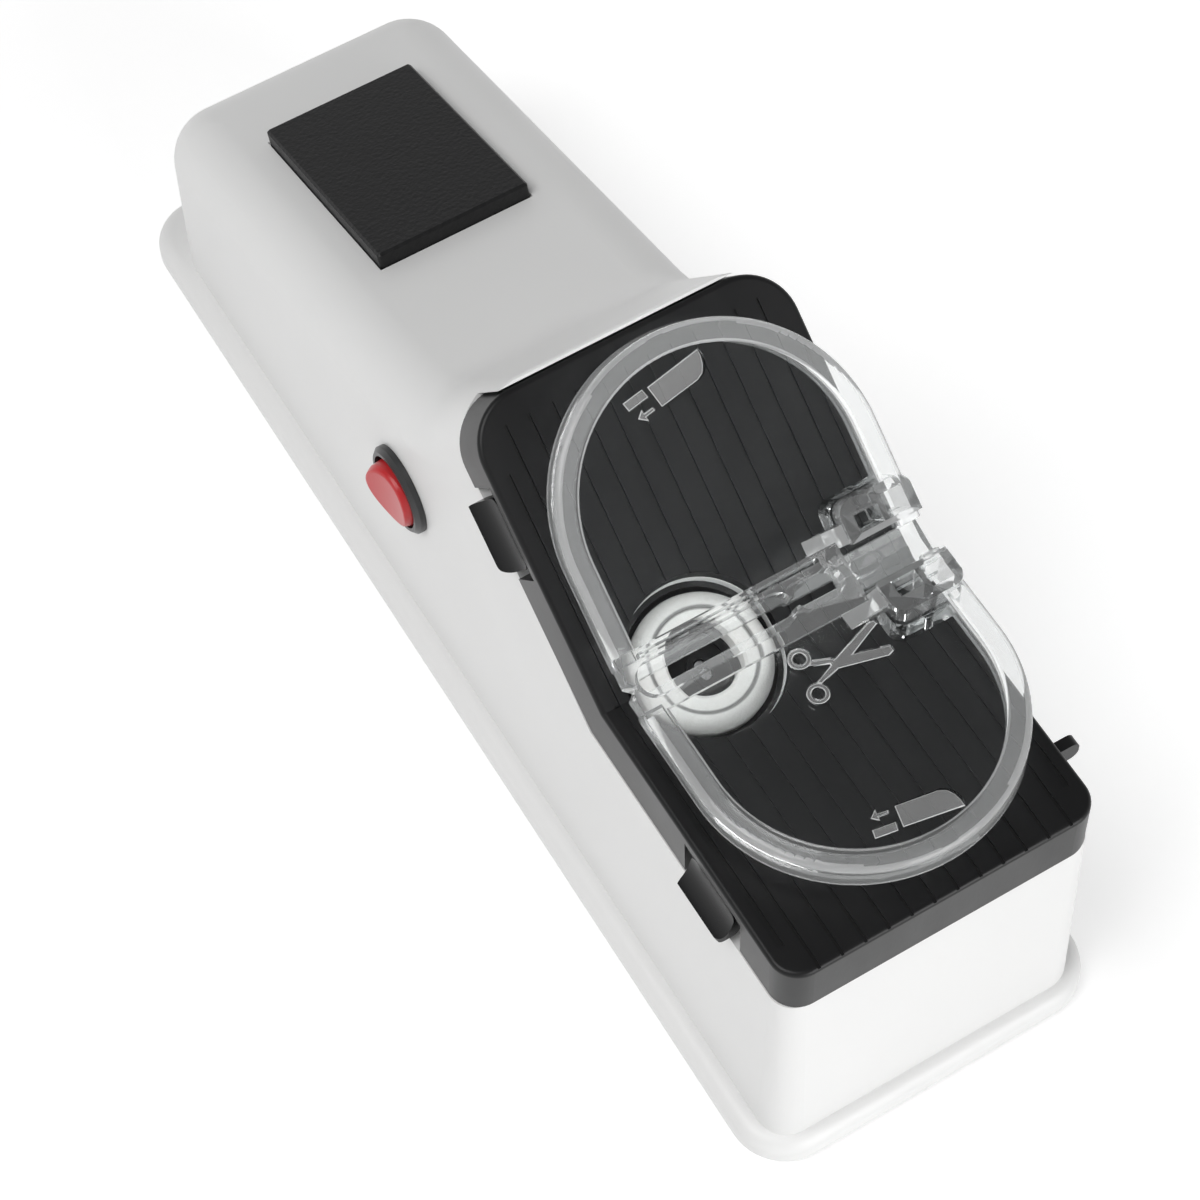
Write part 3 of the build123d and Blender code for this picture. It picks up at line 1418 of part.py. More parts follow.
# Door under the cells: it turns on two pins at its front edge.
with BuildPart() as battery_door:
    door_level = foot_height + floor_thick / 2 - door_thick / 2
    with Locations((0, bay_middle_y, door_level)):
        Box(
            2 * (door_half_width - door_gap),
            bay_length - 2 * door_gap,
            door_thick,
            align=(Align.CENTER, Align.CENTER, Align.MIN),
        )
    front_edges = battery_door.faces().sort_by(Axis.Y)[0].edges().filter_by(Axis.X)
    fillet(front_edges, door_thick / 2 - 0.05)
    # grip ribs by the thumb notch
    with BuildSketch(Plane.XY.offset(door_level)):
        with Locations((0, bay_rear_y - 8)):
            with GridLocations(0, 2.0, 1, 4):
                Rectangle(12, 0.8)
    extrude(amount=0.5, mode=Mode.SUBTRACT)
    with BuildSketch(Plane.YZ.offset(-door_half_width - door_pin_length)):
        with Locations((door_pin_y, door_pin_z)):
            Circle(door_pin_radius)
    extrude(amount=2 * (door_half_width + door_pin_length))
write(battery_door.part, "battery_door")


# ---- Hook-up wires -------------------------------------------------------------------
def wire(points, bend):
    """A round insulated wire through a few points, with rounded bends."""
    with BuildPart() as lead:
        with BuildLine() as path:
            FilletPolyline(*points, radius=bend)
        with BuildSketch(Plane(origin=path.line @ 0, z_dir=path.line % 0)):
            Circle(wire_radius)
        sweep(path=path.line)
    return lead.part


tail_level = cap_rear - 3.4
left_tail = axle.from_local_coords((-terminal_spread - wire_radius - 0.3, terminal_side, tail_level))
right_tail = axle.from_local_coords((terminal_spread + wire_radius + 0.3, terminal_side, tail_level))
upper_tab = wall_lean.from_local_coords((0, -3.5 - wire_radius - 0.5, switch_tail + 1.5))
lower_tab = wall_lean.from_local_coords((0, 3.5 + wire_radius + 0.5, switch_tail + 1.5))
tab_y = bay_front_y - box_wall - 2.4
left_contact = Vector(-cell_x, tab_y, tab_slot_level + 0.3 + wire_radius)
right_contact = Vector(cell_x, tab_y, tab_slot_level + 0.3 + wire_radius)

red_points = [
    left_tail,
    left_tail + Vector(0, 7, 1),
    upper_tab + Vector(5, -14, 2),
    upper_tab + Vector(5, -2, 1),
    upper_tab,
]
write(wire(red_points, 1.6), "wire_red")
switch_points = [
    lower_tab,
    lower_tab + Vector(4, -1, -3),
    lower_tab + Vector(3, -18, -6),
    left_contact + Vector(0, -2, 7),
    left_contact + Vector(0, -1.6, 0),
    left_contact,
]
write(wire(switch_points, 0.7), "wire_switch")
black_points = [
    right_tail,
    right_tail + Vector(2, 4, -2),
    right_contact + Vector(0, -4, 2),
    right_contact + Vector(0, -2.5, 0),
    right_contact,
]
write(wire(black_points, 0.8), "wire_black")
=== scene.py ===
# %% [markdown]
# # A battery knife sharpener, dressed for a studio picture
# The sharpener is a white moulded body with a dark grooved work plate on its front
# half. A clear two-lobed guide stands over the plate and leads a blade across a small
# grinding wheel. Every part already has its shape from the engineering model. This
# lesson gives each part the finish that a maker would order for it, lays frosted
# pictograms into the guide, and sets up a plain studio.

# %% Load the engineering model
import math
import bmesh
import bpy
from mathutils import Matrix, Vector


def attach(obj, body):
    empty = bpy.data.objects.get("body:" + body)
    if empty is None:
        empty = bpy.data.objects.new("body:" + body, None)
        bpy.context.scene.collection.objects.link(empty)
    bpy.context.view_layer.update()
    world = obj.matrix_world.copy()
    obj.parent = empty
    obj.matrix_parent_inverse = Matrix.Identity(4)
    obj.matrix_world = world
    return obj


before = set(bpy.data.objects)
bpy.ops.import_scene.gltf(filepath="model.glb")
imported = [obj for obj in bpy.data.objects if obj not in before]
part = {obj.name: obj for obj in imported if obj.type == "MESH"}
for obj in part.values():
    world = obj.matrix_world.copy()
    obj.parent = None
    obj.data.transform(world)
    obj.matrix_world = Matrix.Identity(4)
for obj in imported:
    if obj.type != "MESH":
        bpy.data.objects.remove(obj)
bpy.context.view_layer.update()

MM = 0.001


# %% [markdown]
# ## The camera
# A product camera is best placed by numbers that can be read back: where it stands, how
# far it looks round the object, how steeply down, and how much the picture is rolled.
# The lens is a long one, about 100 mm, so the lines of the housing hardly converge. A
# camera could also be aimed with a tracking constraint, but a fixed matrix keeps the
# small roll of a hand-placed shot exactly.

# %% Camera
view_round = math.radians(-27.86)
view_down = math.radians(59.455)
view_roll = math.radians(-3.255)
stand_point = Vector((-131.83, -253.1, 479.32)) * MM

back = Vector((math.sin(view_round) * math.cos(view_down),
               -math.cos(view_round) * math.cos(view_down),
               math.sin(view_down)))
level_right = Vector((math.cos(view_round), math.sin(view_round), 0))
level_up = back.cross(level_right)
right = level_right * math.cos(view_roll) + level_up * math.sin(view_roll)
up = level_up * math.cos(view_roll) - level_right * math.sin(view_roll)

lens_data = bpy.data.cameras.new("studio_camera")
lens_data.lens = 99.49
lens_data.sensor_width = 36.0
lens_data.clip_start = 0.01
lens_data.clip_end = 10
camera = bpy.data.objects.new("studio_camera", lens_data)
bpy.context.scene.collection.objects.link(camera)
camera.matrix_world = Matrix((
    (right.x, up.x, back.x, stand_point.x),
    (right.y, up.y, back.y, stand_point.y),
    (right.z, up.z, back.z, stand_point.z),
    (0, 0, 0, 1)))
bpy.context.scene.camera = camera
print("camera stands at", [round(v, 3) for v in stand_point])


# %% [markdown]
# ## Studio light
# Pale plastic needs light that wraps round it, or its soft edges vanish. The room gives
# most of that light: it is bright near the horizon, like white side walls, and darker
# overhead, like a studio ceiling with its lamps off. The dark ceiling keeps the black
# plate black, because a level glossy face mirrors what is above it. One lamp low in
# front makes the front wall the brightest face, and one high on the left lifts the top.

# %% Room light
scene = bpy.context.scene
scene.view_settings.view_transform = "Standard"
world = bpy.data.worlds.new("studio_room")
scene.world = world
world.use_nodes = True
room = world.node_tree.nodes
wire = world.node_tree.links
room.clear()
room_out = room.new("ShaderNodeOutputWorld")
room_glow = room.new("ShaderNodeBackground")
look = room.new("ShaderNodeTexCoord")
height = room.new("ShaderNodeSeparateXYZ")
room_fade = room.new("ShaderNodeMapRange")
room_fade.interpolation_type = "SMOOTHSTEP"
room_fade.inputs["From Min"].default_value = 0.12
room_fade.inputs["From Max"].default_value = 0.62
room_fade.inputs["To Min"].default_value = 0.90
room_fade.inputs["To Max"].default_value = 0.22
wire.new(look.outputs["Generated"], height.inputs[0])
wire.new(height.outputs["Z"], room_fade.inputs["Value"])
wire.new(room_fade.outputs["Result"], room_glow.inputs["Strength"])
wire.new(room_glow.outputs[0], room_out.inputs["Surface"])
print("room light", world.name)

# %% Lamps
lamp_target = Vector((0, 0, 0.03))


def soft_lamp(name, place, size, watts):
    """A square soft box that looks at the middle of the sharpener."""
    data = bpy.data.lights.new(name, "AREA")
    data.shape = "SQUARE"
    data.size = size
    data.energy = watts
    lamp = bpy.data.objects.new(name, data)
    scene.collection.objects.link(lamp)
    lamp.location = place
    gaze = lamp_target - lamp.location
    lamp.rotation_euler = gaze.to_track_quat("-Z", "Y").to_euler()
    return lamp


front_box = soft_lamp("front_softbox", place=Vector((0.30, -1.25, 0.38)), size=0.8, watts=9.2)
left_box = soft_lamp("left_softbox", place=Vector((-0.60, -0.05, 1.15)), size=0.8, watts=9.0)
print("lamps", front_box.name, left_box.name)


# %% [markdown]
# ## The floor
# The floor is a large pale sheet. It keeps the soft shadow that shows the sharpener
# standing on it. A little glow that only the camera, mirrors and clear plastic see
# lifts it to white, because stronger lamps would burn out the white housing. For each
# kind of ray a node gives 1 if such a ray looks at the floor and 0 if not, so the
# largest of three of these numbers switches the glow on.

# %% Floor sheet
floor_mesh = bpy.data.meshes.new("floor")
reach = 3.0
floor_mesh.from_pydata([(-reach, -reach, 0), (reach, -reach, 0), (reach, reach, 0),
                        (-reach, reach, 0)], [], [(0, 1, 2, 3)])
floor = bpy.data.objects.new("floor", floor_mesh)
scene.collection.objects.link(floor)
print("floor is", 2 * reach, "m wide")


# %% A node that calculates
def calculate(tree, operation, *numbers):
    """A math node. Each number is typed in, or comes from another node's output."""
    node = tree.nodes.new("ShaderNodeMath")
    node.operation = operation
    for socket, number in zip(node.inputs, numbers):
        if isinstance(number, float):
            socket.default_value = number
        else:
            tree.links.new(number, socket)
    return node.outputs[0]


# %% Floor finish
floor_lift = 0.40
floor_finish = bpy.data.materials.new("pale_floor")
floor_finish.use_nodes = True
floor_tree = floor_finish.node_tree
floor_tree.nodes.clear()
floor_out = floor_tree.nodes.new("ShaderNodeOutputMaterial")
floor_diffuse = floor_tree.nodes.new("ShaderNodeBsdfDiffuse")
floor_diffuse.inputs["Color"].default_value = (0.86, 0.86, 0.86, 1)
floor_glow = floor_tree.nodes.new("ShaderNodeEmission")
floor_glow.inputs["Color"].default_value = (1, 1, 1, 1)
floor_add = floor_tree.nodes.new("ShaderNodeAddShader")
ray = floor_tree.nodes.new("ShaderNodeLightPath").outputs
seen = calculate(floor_tree, "MAXIMUM", ray["Is Camera Ray"], ray["Is Transmission Ray"])
seen_or_mirrored = calculate(floor_tree, "MAXIMUM", seen, ray["Is Glossy Ray"])
glow_strength = calculate(floor_tree, "MULTIPLY", seen_or_mirrored, floor_lift)
floor_tree.links.new(glow_strength, floor_glow.inputs["Strength"])
floor_tree.links.new(floor_diffuse.outputs[0], floor_add.inputs[0])
floor_tree.links.new(floor_glow.outputs[0], floor_add.inputs[1])
floor_tree.links.new(floor_add.outputs[0], floor_out.inputs["Surface"])
floor_mesh.materials.append(floor_finish)
print("floor glows with strength", floor_lift)


# %% [markdown]
# ## A helper for finishes
# Moulded plastic is never perfectly even: the mould is spark-eroded, so the skin has
# tiny bumps, and its colour and gloss wander a little. Each finish below is one
# Principled shader. Numbers that are the same everywhere are typed into its sockets.
# Only what really varies over the skin comes from noise. The grain, its depth and the
# patches are given in millimetres, so they have their real size.

# %% Finish helper
patch_shade = 0.93


def finish(name, colour, rough, grain, depth, tint=None, rough_swing=0.06, patch=20.0,
           metal=0.0, specular=0.5, stretch=(1, 1, 1)):
    """A moulded or machined skin: base colour, wandering gloss and a fine grain."""
    skin = bpy.data.materials.new(name)
    skin.use_nodes = True
    nodes = skin.node_tree.nodes
    links = skin.node_tree.links
    shader = nodes["Principled BSDF"]
    shader.inputs["Metallic"].default_value = metal
    shader.inputs["Specular IOR Level"].default_value = specular
    place = nodes.new("ShaderNodeTexCoord")
    spread = nodes.new("ShaderNodeMapping")
    spread.inputs["Scale"].default_value = stretch
    links.new(place.outputs["Object"], spread.inputs["Vector"])
    patches = nodes.new("ShaderNodeTexNoise")
    patches.inputs["Scale"].default_value = 1.0 / (patch * MM)
    patches.inputs["Detail"].default_value = 4.0
    links.new(spread.outputs[0], patches.inputs["Vector"])
    mixer = nodes.new("ShaderNodeMix")
    mixer.data_type = "RGBA"
    mixer.inputs["A"].default_value = (*colour, 1)
    mixer.inputs["B"].default_value = (*(tint or [patch_shade * v for v in colour]), 1)
    links.new(patches.outputs["Fac"], mixer.inputs["Factor"])
    links.new(mixer.outputs["Result"], shader.inputs["Base Color"])
    gloss = nodes.new("ShaderNodeMapRange")
    gloss.inputs["To Min"].default_value = rough - rough_swing
    gloss.inputs["To Max"].default_value = rough + rough_swing
    links.new(patches.outputs["Fac"], gloss.inputs["Value"])
    links.new(gloss.outputs[0], shader.inputs["Roughness"])
    bumps = nodes.new("ShaderNodeTexNoise")
    bumps.inputs["Scale"].default_value = 1.0 / (grain * MM)
    bumps.inputs["Detail"].default_value = 2.0
    links.new(spread.outputs[0], bumps.inputs["Vector"])
    relief = nodes.new("ShaderNodeBump")
    relief.inputs["Strength"].default_value = 1.0
    relief.inputs["Distance"].default_value = depth * MM
    links.new(bumps.outputs["Fac"], relief.inputs["Height"])
    links.new(relief.outputs[0], shader.inputs["Normal"])
    return skin


def dress(skin, *names):
    """Put one finish on every face of the named engineering parts."""
    for name in names:
        mesh = part[name].data
        mesh.materials.clear()
        mesh.materials.append(skin)
    print(skin.name, "on", ", ".join(names))


# %% [markdown]
# ## White housing
# The housing is moulded in white ABS with a fine satin texture. Real ABS is not paper
# white: it reflects about four fifths of the light and carries a soft highlight. A
# plain white diffuse shader would look like plaster, so the sheen comes from a
# roughness near 0.4.

# %% White housing
white_skin = finish("satin_white_abs", (0.80, 0.80, 0.795), rough=0.40, grain=0.45, depth=0.012,
                    tint=(0.775, 0.775, 0.77), patch=30.0)
dress(white_skin, "upper_housing", "base_tray")

# %% [markdown]
# ## Black work plate
# The plate is black ABS with a slightly glossier skin than the housing, so a blade
# slides over it. Blades leave faint lengthwise scuffs, which here are a noise stretched
# along the plate.

# %% Work plate
plate_skin = finish("satin_black_plate", (0.006, 0.006, 0.0065), rough=0.36, grain=0.5,
                    depth=0.01, tint=(0.011, 0.011, 0.0115), rough_swing=0.08, patch=6.0,
                    specular=0.28, stretch=(1, 0.25, 0.25))
dress(plate_skin, "work_plate")

# %% [markdown]
# ## Small black mouldings
# Battery box, wheel well and wheel hub are plain black mouldings. The latches come from
# a polished mould, so their skin is the smoothest of the black parts. The ring round
# the rocker is a shade greyer. The name field on the handle has the roughest skin and
# stays bare.

# %% Black mouldings
black_skin = finish("moulded_black", (0.008, 0.008, 0.0085), rough=0.30, grain=0.4, depth=0.01,
                    tint=(0.012, 0.012, 0.0125), specular=0.35)
dress(black_skin, "battery_box", "wheel_well", "wheel_hub")
latch_skin = finish("polished_black", (0.004, 0.004, 0.0045), rough=0.24, grain=0.6, depth=0.004,
                    tint=(0.006, 0.006, 0.0065), rough_swing=0.05, specular=0.18)
dress(latch_skin, "latch_front_left", "latch_front_right", "latch_rear_left", "latch_rear_right")
ring_skin = finish("switch_ring_black", (0.022, 0.022, 0.023), rough=0.38, grain=0.4, depth=0.01,
                   tint=(0.03, 0.03, 0.031))
dress(ring_skin, "switch_body")
field_skin = finish("name_field_black", (0.006, 0.006, 0.0065), rough=0.42, grain=0.7, depth=0.08,
                    tint=(0.016, 0.016, 0.0165), patch=1.2, specular=0.30)
dress(field_skin, "nameplate")

# %% [markdown]
# ## Red rocker
# The rocker is moulded through in red, with a satin skin that fingers have polished
# a little.

# %% Rocker
red_skin = finish("rocker_red", (0.56, 0.030, 0.034), rough=0.30, grain=0.4, depth=0.01,
                  tint=(0.47, 0.022, 0.026), specular=0.4)
dress(red_skin, "rocker")

# %% [markdown]
# ## Grinding wheel
# The wheel is white bonded abrasive. Its grains stand proud, so it is rough and bumpy
# at about a third of a millimetre, with small darker pores between the grains. Shade
# falls in the corner where the inner ring steps down, and it is painted in as a dark
# ring: the distance of a point from the axle is the length of a cross product. The axle stands
# on the line where the work plate folds, and leans back by half of the rear slope.

# %% Wheel
wheel_skin = finish("white_abrasive", (0.80, 0.80, 0.79), rough=0.75, grain=0.35, depth=0.08,
                    tint=(0.66, 0.65, 0.63), patch=0.6, rough_swing=0.05)
dress(wheel_skin, "grinding_wheel")

# %% The fold and the axle
fold = Vector((0, -52.0, 62.0))
half_slope = math.radians(18.75)
uphill = Vector((0, math.cos(half_slope), math.sin(half_slope)))
axle_direction = Vector((0, -math.sin(half_slope), math.cos(half_slope)))
axle_x = -9.2
axle_place = Vector((axle_x, fold.y, fold.z)) * MM
print("axle stands at", [round(v, 4) for v in axle_place])

# %% Painted step shade helper
# A dark colour painted along the step as its shade.
step_shade_colour = (0.12, 0.12, 0.12, 1)
step_shade_cover = 0.8
step_shade_core = 0.4


def paint_step_shade(skin, radius, half_width):
    """Darken a skin along a circle round the wheel's axle."""
    tree = skin.node_tree
    place = tree.nodes.new("ShaderNodeTexCoord")
    arm = tree.nodes.new("ShaderNodeVectorMath")
    arm.operation = "SUBTRACT"
    arm.inputs[1].default_value = axle_place
    across = tree.nodes.new("ShaderNodeVectorMath")
    across.operation = "CROSS_PRODUCT"
    across.inputs[1].default_value = axle_direction
    distance = tree.nodes.new("ShaderNodeVectorMath")
    distance.operation = "LENGTH"
    tree.links.new(place.outputs["Object"], arm.inputs[0])
    tree.links.new(arm.outputs[0], across.inputs[0])
    tree.links.new(across.outputs[0], distance.inputs[0])
    offset = calculate(tree, "SUBTRACT", distance.outputs["Value"], radius)
    strength = tree.nodes.new("ShaderNodeMapRange")
    strength.inputs["From Min"].default_value = step_shade_core * half_width
    strength.inputs["From Max"].default_value = half_width
    strength.inputs["To Min"].default_value = step_shade_cover
    strength.inputs["To Max"].default_value = 0.0
    tree.links.new(calculate(tree, "ABSOLUTE", offset), strength.inputs["Value"])
    shader = tree.nodes["Principled BSDF"]
    plain_colour = shader.inputs["Base Color"].links[0].from_socket
    # Mix the painted shade colour into the base colour near the step.
    shaded_colour = tree.nodes.new("ShaderNodeMix")
    shaded_colour.data_type = "RGBA"
    shaded_colour.inputs["B"].default_value = step_shade_colour
    tree.links.new(strength.outputs[0], shaded_colour.inputs["Factor"])
    tree.links.new(plain_colour, shaded_colour.inputs["A"])
    tree.links.new(shaded_colour.outputs["Result"], shader.inputs["Base Color"])


# %% Painted shade in the step
step_radius = 8.0 * MM
step_shade_half_width = 0.45 * MM
paint_step_shade(wheel_skin, step_radius, step_shade_half_width)
# The ring printed here is the painted shade in the step.
print("dust ring at", round(step_radius / MM, 1), "mm from the axle")

# %% [markdown]
# ## Parts underneath and inside
# Rubber, plated steel, copper and brass are each one finish. Nobody sees them in the
# first picture, but the battery door and the feet show when it is turned over.

# %% Underside finishes
rubber_skin = finish("foot_rubber", (0.02, 0.02, 0.02), rough=0.8, grain=0.5, depth=0.04)
dress(rubber_skin, "rubber_feet")
door_skin = finish("door_white_abs", (0.78, 0.78, 0.775), rough=0.42, grain=0.45, depth=0.015)
dress(door_skin, "battery_door")

# %% Metals
steel_skin = finish("plated_steel", (0.62, 0.62, 0.63), rough=0.28, grain=0.6, depth=0.006,
                    metal=1.0)
dress(steel_skin, "housing_screws", "well_screws", "motor_screws", "motor_shaft",
      "motor_can", "rotor", "contact_link", "contact_terminals")
black_steel_skin = finish("black_oxide_steel", (0.03, 0.03, 0.032), rough=0.4, grain=0.6,
                          depth=0.006, metal=0.6)
dress(black_steel_skin, "guide_screws")
brass_skin = finish("plain_brass", (0.72, 0.52, 0.22), rough=0.3, grain=0.6, depth=0.006,
                    metal=1.0)
dress(brass_skin, "motor_terminals", "switch_terminals")
copper_skin = finish("enamelled_copper", (0.66, 0.26, 0.12), rough=0.3, grain=0.5, depth=0.04,
                     metal=0.8)
dress(copper_skin, "rotor_windings", "commutator")
bronze_skin = finish("oiled_bronze", (0.40, 0.24, 0.12), rough=0.5, grain=0.4, depth=0.02,
                     metal=1.0)
dress(bronze_skin, "motor_bushes")

# %% Other inside finishes
ferrite_skin = finish("dark_ferrite", (0.04, 0.04, 0.043), rough=0.6, grain=0.4, depth=0.03)
dress(ferrite_skin, "motor_magnets")
nylon_skin = finish("natural_nylon", (0.62, 0.60, 0.52), rough=0.45, grain=0.5, depth=0.01)
dress(nylon_skin, "motor_end_cap")
ceramic_skin = finish("dipped_ceramic", (0.60, 0.26, 0.05), rough=0.3, grain=1.0, depth=0.03)
dress(ceramic_skin, "capacitor")
cell_skin = finish("cell_sleeve", (0.06, 0.10, 0.17), rough=0.25, grain=2.0, depth=0.004)
dress(cell_skin, "aa_cells")
red_wire_skin = finish("red_insulation", (0.50, 0.02, 0.02), rough=0.4, grain=1.0, depth=0.01)
dress(red_wire_skin, "wire_red", "wire_switch")
black_wire_skin = finish("black_insulation", (0.015, 0.015, 0.015), rough=0.4, grain=1.0,
                         depth=0.01)
dress(black_wire_skin, "wire_black")

# %% [markdown]
# ## Clear guide
# The guide is clear polycarbonate. Light goes through it, bends a little and flashes on
# its edges. Glass in a path tracer blocks lamps, so the shader lets shadow rays pass.
# The thin floors of its two lobes look quite clear. The thick rim, bar and blocks gather
# light from all sides and look paler; that light is painted in, as the same plastic with a
# little soft white in its faces. Their rounded and bevelled edges flash most, and get more
# of it as a painted highlight. The mould's surface is never flat, so a slow ripple bends the light
# a little more.

# %% Clear plastic
light_bend = 1.40
shadow_tint = (0.92, 0.93, 0.93, 1)
ripples_per_metre = 180.0
ripple_depth = 0.012 * MM


def clear_finish(name, tint, rough, clear_part):
    """Clear plastic that also lets the lamps' light through."""
    skin = bpy.data.materials.new(name)
    skin.use_nodes = True
    nodes = skin.node_tree.nodes
    links = skin.node_tree.links
    shader = nodes["Principled BSDF"]
    shader.inputs["Base Color"].default_value = (*tint, 1)
    shader.inputs["Roughness"].default_value = rough
    shader.inputs["IOR"].default_value = light_bend
    shader.inputs["Transmission Weight"].default_value = clear_part
    pass_light = nodes.new("ShaderNodeBsdfTransparent")
    pass_light.inputs["Color"].default_value = shadow_tint
    path = nodes.new("ShaderNodeLightPath")
    choose = nodes.new("ShaderNodeMixShader")
    links.new(path.outputs["Is Shadow Ray"], choose.inputs["Fac"])
    links.new(shader.outputs[0], choose.inputs[1])
    links.new(pass_light.outputs[0], choose.inputs[2])
    links.new(choose.outputs[0], nodes["Material Output"].inputs["Surface"])
    place = nodes.new("ShaderNodeTexCoord")
    ripple = nodes.new("ShaderNodeTexNoise")
    ripple.inputs["Scale"].default_value = ripples_per_metre
    links.new(place.outputs["Object"], ripple.inputs["Vector"])
    relief = nodes.new("ShaderNodeBump")
    relief.inputs["Distance"].default_value = ripple_depth
    links.new(ripple.outputs["Fac"], relief.inputs["Height"])
    links.new(relief.outputs[0], shader.inputs["Normal"])
    return skin


# %% Three finishes for the guide: clear, painted soft light, painted highlight
clear_skin = clear_finish("clear_polycarbonate", (0.97, 0.985, 0.985), rough=0.02, clear_part=1.0)
# The second finish paints the light that the thick parts gather as soft white.
painted_light_skin = clear_finish("painted_light_polycarbonate", (0.94, 0.95, 0.95), rough=0.02, clear_part=0.89)
# The third finish paints the edges' highlight with more soft white.
painted_highlight_skin = clear_finish("painted_highlight_polycarbonate", (0.95, 0.96, 0.96), rough=0.03, clear_part=0.72)
dress(clear_skin, "blade_guide")
guide_mesh = part["blade_guide"].data
guide_mesh.materials.append(painted_light_skin)
guide_mesh.materials.append(painted_highlight_skin)
clear_slot, painted_light_slot, painted_highlight_slot = range(3)
print("guide finishes", len(guide_mesh.materials))

# %% [markdown]
# ## Where the guide is thick, and where light is painted on it
# The two lobes mirror each other at the fold, so a face of the rear lobe is folded down
# over the level part before it is measured. It is then clear if it lies inside the rim,
# clear of the bar and no higher than the lobe's floor. Any other face gets the painted
# highlight if it looks up at a slant, and painted soft light if it doesn't. Painting the faces by
# hand would do for one guide, but a rule also holds when the guide's mesh changes.

# %% Places on the guide, in millimetres
lobe_middle_x = 2.1
lobe_radius = 25.4
lobe_reach = 46.6
rim_width = 3.6
bar_half_width = 4.8
guide_gap = 4.9
guide_floor = 1.4


def from_fold(point):
    """A point of either lobe as x, y and level over the level part, in millimetres."""
    point = point / MM
    along = (point - fold).dot(uphill)
    if along > 0:
        point = point - 2 * along * uphill
    return point.x, point.y - fold.y, point.z - fold.z


def inside_rim(x, y):
    """How far a place lies inside the lobe's outline, in millimetres."""
    turn_y = lobe_radius - lobe_reach
    if y > turn_y:
        return lobe_radius - abs(x - lobe_middle_x)
    return lobe_radius - math.hypot(x - lobe_middle_x, y - turn_y)


# %% A finish for each face
border_slack = 0.05
level_slack = 0.1
looks_up = 0.3
looks_straight = 0.985


def guide_slot(face):
    """Which of the three finishes a face of the guide gets."""
    x, y, level = from_fold(face.center)
    normal = face.normal
    if face.center.y > fold.y * MM:
        normal = normal - 2 * normal.dot(uphill) * uphill
    in_lobe = inside_rim(x, y) > rim_width - border_slack and y < -bar_half_width - border_slack
    if in_lobe and level < guide_gap + guide_floor + level_slack:
        return clear_slot
    straight = max(normal.z, normal.dot(axle_direction))
    # Faces slanting upward get the painted highlight, the others painted soft light.
    return painted_highlight_slot if normal.z > looks_up and straight < looks_straight else painted_light_slot


face_count = [0, 0, 0]
for face in guide_mesh.polygons:
    face.material_index = guide_slot(face)
    face_count[face.material_index] += 1
print("faces of the clear, pale and edge finish", face_count)

# %% [markdown]
# ## Frosted pictograms
# Each lobe of the guide has a small picture sunk into it, a knife with an arrow that
# shows which way to pull. The front lobe also has a pair of scissors. The mould is
# sandblasted there, so the plastic turns milky while its borders flash. Each picture is
# a thin sheet of its own that lies in the sunk place, drawn as a flat outline,
# thickened and bevelled. The flat is faintly milky. The bevel is brighter and less
# clear, a painted highlight that gives the fine light border.

# %% Frosted finish and painted border highlight
def frosted_finish(name, grey, cover):
    """Milky plastic: a rough pale skin that lets most of what is behind it through."""
    skin = finish(name, (grey, grey, grey), rough=0.45, grain=0.2, depth=0.02,
                  rough_swing=0.08, patch=2.0)
    skin.node_tree.nodes["Principled BSDF"].inputs["Alpha"].default_value = cover
    return skin


milky_skin = frosted_finish("milky_flat", grey=0.55, cover=0.22)
# The border's brighter, less see-through skin is a painted highlight for the flashing bevel.
painted_highlight_border_skin = frosted_finish("painted_highlight_border", grey=0.80, cover=0.60)
print("frosted finishes", milky_skin.name, painted_highlight_border_skin.name)

# %% Where the pictograms lie
def on_front(x, y, level):
    """A point over the level part, by its distance from the fold, in millimetres."""
    return Vector((x, fold.y + y, fold.z + level))


def on_rear(x, y, level):
    """The same point mirrored to the slope behind the fold."""
    point = on_front(x, y, level)
    return point - 2 * (point - fold).dot(uphill) * uphill


print("underside of the guide at the fold", [round(v, 1) for v in on_front(0, 0, guide_gap)])

# %% Outlines of the pictograms, in millimetres from the fold
knife_blade = [(7.8, -41.5), (-1.35, -39.85), (-0.58, -36.4), (5.9, -37.5), (7.0, -38.1),
               (7.6, -39.2), (7.85, -40.4)]
knife_handle = [(-5.25, -37.95), (-5.65, -39.35), (-2.15, -39.95), (-1.75, -38.55)]
arrow = [(-4.5, -36.4), (-3.45, -37.4), (-3.35, -36.75), (-1.85, -37.0), (-1.65, -36.45),
         (-3.25, -36.15), (-3.1, -35.4)]
scissor_blades = [(1.9, -10.98), (1.25, -11.58), (4.0, -12.75), (4.0, -13.05), (0.68, -14.42),
                  (1.4, -14.85), (4.6, -14.05), (11.9, -16.02), (13.0, -15.65),
                  (12.85, -14.65), (7.75, -13.1), (13.35, -10.7), (13.15, -9.97),
                  (12.2, -9.97), (5.2, -12.45), (4.6, -12.08)]
ring_near_bar = (0.7, -9.9)
ring_outer = (0.0, -16.0)
ring_radius = 1.7
ring_hole_radius = 1.0
ring_steps = 32


def ring_of(middle, radius):
    """A round outline."""
    turns = [2 * math.pi * k / ring_steps for k in range(ring_steps)]
    return [(middle[0] + radius * math.cos(turn), middle[1] + radius * math.sin(turn))
            for turn in turns]


print("outlines", len(knife_blade), len(knife_handle), len(arrow), len(scissor_blades))

# %% Sheet helper
sunk_depth = 0.5
sheet_clearance = 0.03
sheet_level = guide_gap + guide_floor - sunk_depth + sheet_clearance
sheet_thick = 0.30
border_width = 0.16
counts_as_flat = 0.97


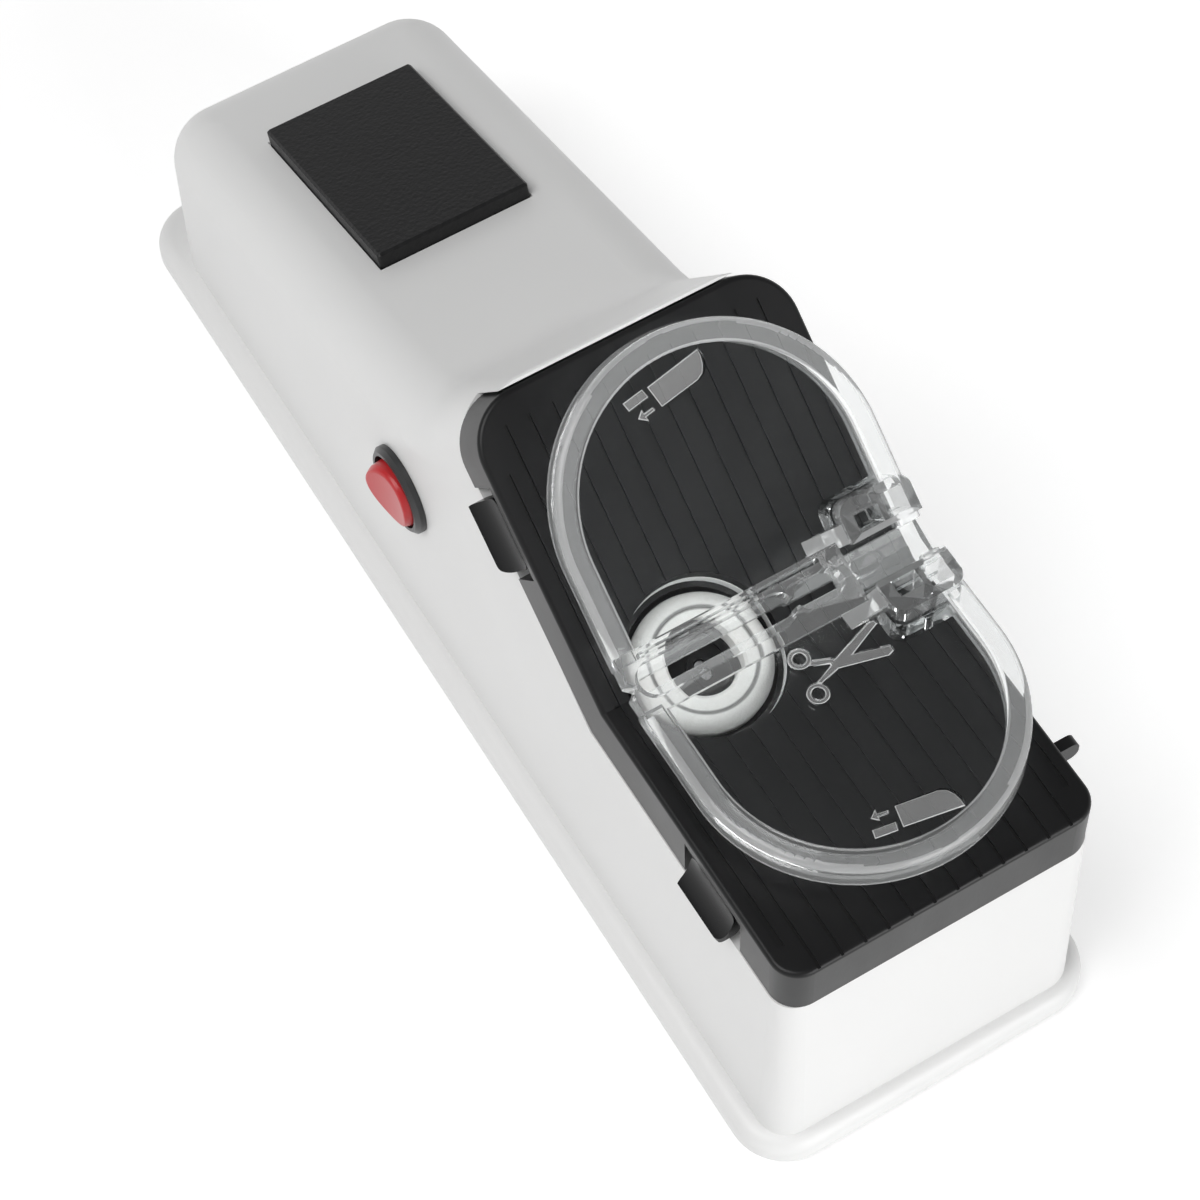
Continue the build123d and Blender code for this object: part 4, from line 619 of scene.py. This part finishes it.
def outline_faces(shape, outline, hole, place):
    """The flat faces inside an outline, or between it and a hole with as many points."""
    base = [shape.verts.new(place(x, y, sheet_level) * MM) for x, y in outline]
    if not hole:
        return [shape.faces.new(base)]
    inner = [shape.verts.new(place(x, y, sheet_level) * MM) for x, y in hole]
    following = [(k, (k + 1) % len(base)) for k in range(len(base))]
    return [shape.faces.new((base[k], base[n], inner[n], inner[k])) for k, n in following]


def pictogram_sheet(name, outline, place, hole=None):
    """A thin bevelled sheet from a flat outline, with an optional round hole."""
    shape = bmesh.new()
    faces = outline_faces(shape, outline, hole, place)
    lift = (place(0, 0, sheet_level + sheet_thick) - place(0, 0, sheet_level)) * MM
    raised = bmesh.ops.extrude_face_region(shape, geom=faces)["geom"]
    top_verts = [item for item in raised if isinstance(item, bmesh.types.BMVert)]
    bmesh.ops.translate(shape, verts=top_verts, vec=lift)
    bmesh.ops.recalc_face_normals(shape, faces=shape.faces)
    top_faces = [item for item in raised if isinstance(item, bmesh.types.BMFace)]
    rim = [edge for edge in shape.edges
           if sum(face in top_faces for face in edge.link_faces) == 1]
    bmesh.ops.bevel(shape, geom=rim, offset=border_width * MM, segments=1, affect="EDGES",
                    profile=0.5)
    upward = lift.normalized()
    for face in shape.faces:
        # Bevel faces take the second finish, the painted border highlight.
        face.material_index = 0 if abs(face.normal.dot(upward)) > counts_as_flat else 1
    mesh = bpy.data.meshes.new(name)
    shape.to_mesh(mesh)
    shape.free()
    mesh.materials.append(milky_skin)
    mesh.materials.append(painted_highlight_border_skin)
    sheet = bpy.data.objects.new(name, mesh)
    scene.collection.objects.link(sheet)
    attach(sheet, "top_plate")
    return sheet


# %% Pictogram sheets
knife_signs = {"knife_blade": knife_blade, "knife_handle": knife_handle, "arrow": arrow}
sheets = [pictogram_sheet(f"{lobe}_{sign}", outline, place)
          for lobe, place in (("front", on_front), ("rear", on_rear))
          for sign, outline in knife_signs.items()]
sheets.append(pictogram_sheet("scissor_blades", scissor_blades, on_front))
for name, middle in (("scissor_ring_near_bar", ring_near_bar), ("scissor_ring_outer", ring_outer)):
    sheets.append(pictogram_sheet(name, ring_of(middle, ring_radius), on_front,
                                  hole=ring_of(middle, ring_hole_radius)))
print("pictogram sheets", [sheet.name for sheet in sheets])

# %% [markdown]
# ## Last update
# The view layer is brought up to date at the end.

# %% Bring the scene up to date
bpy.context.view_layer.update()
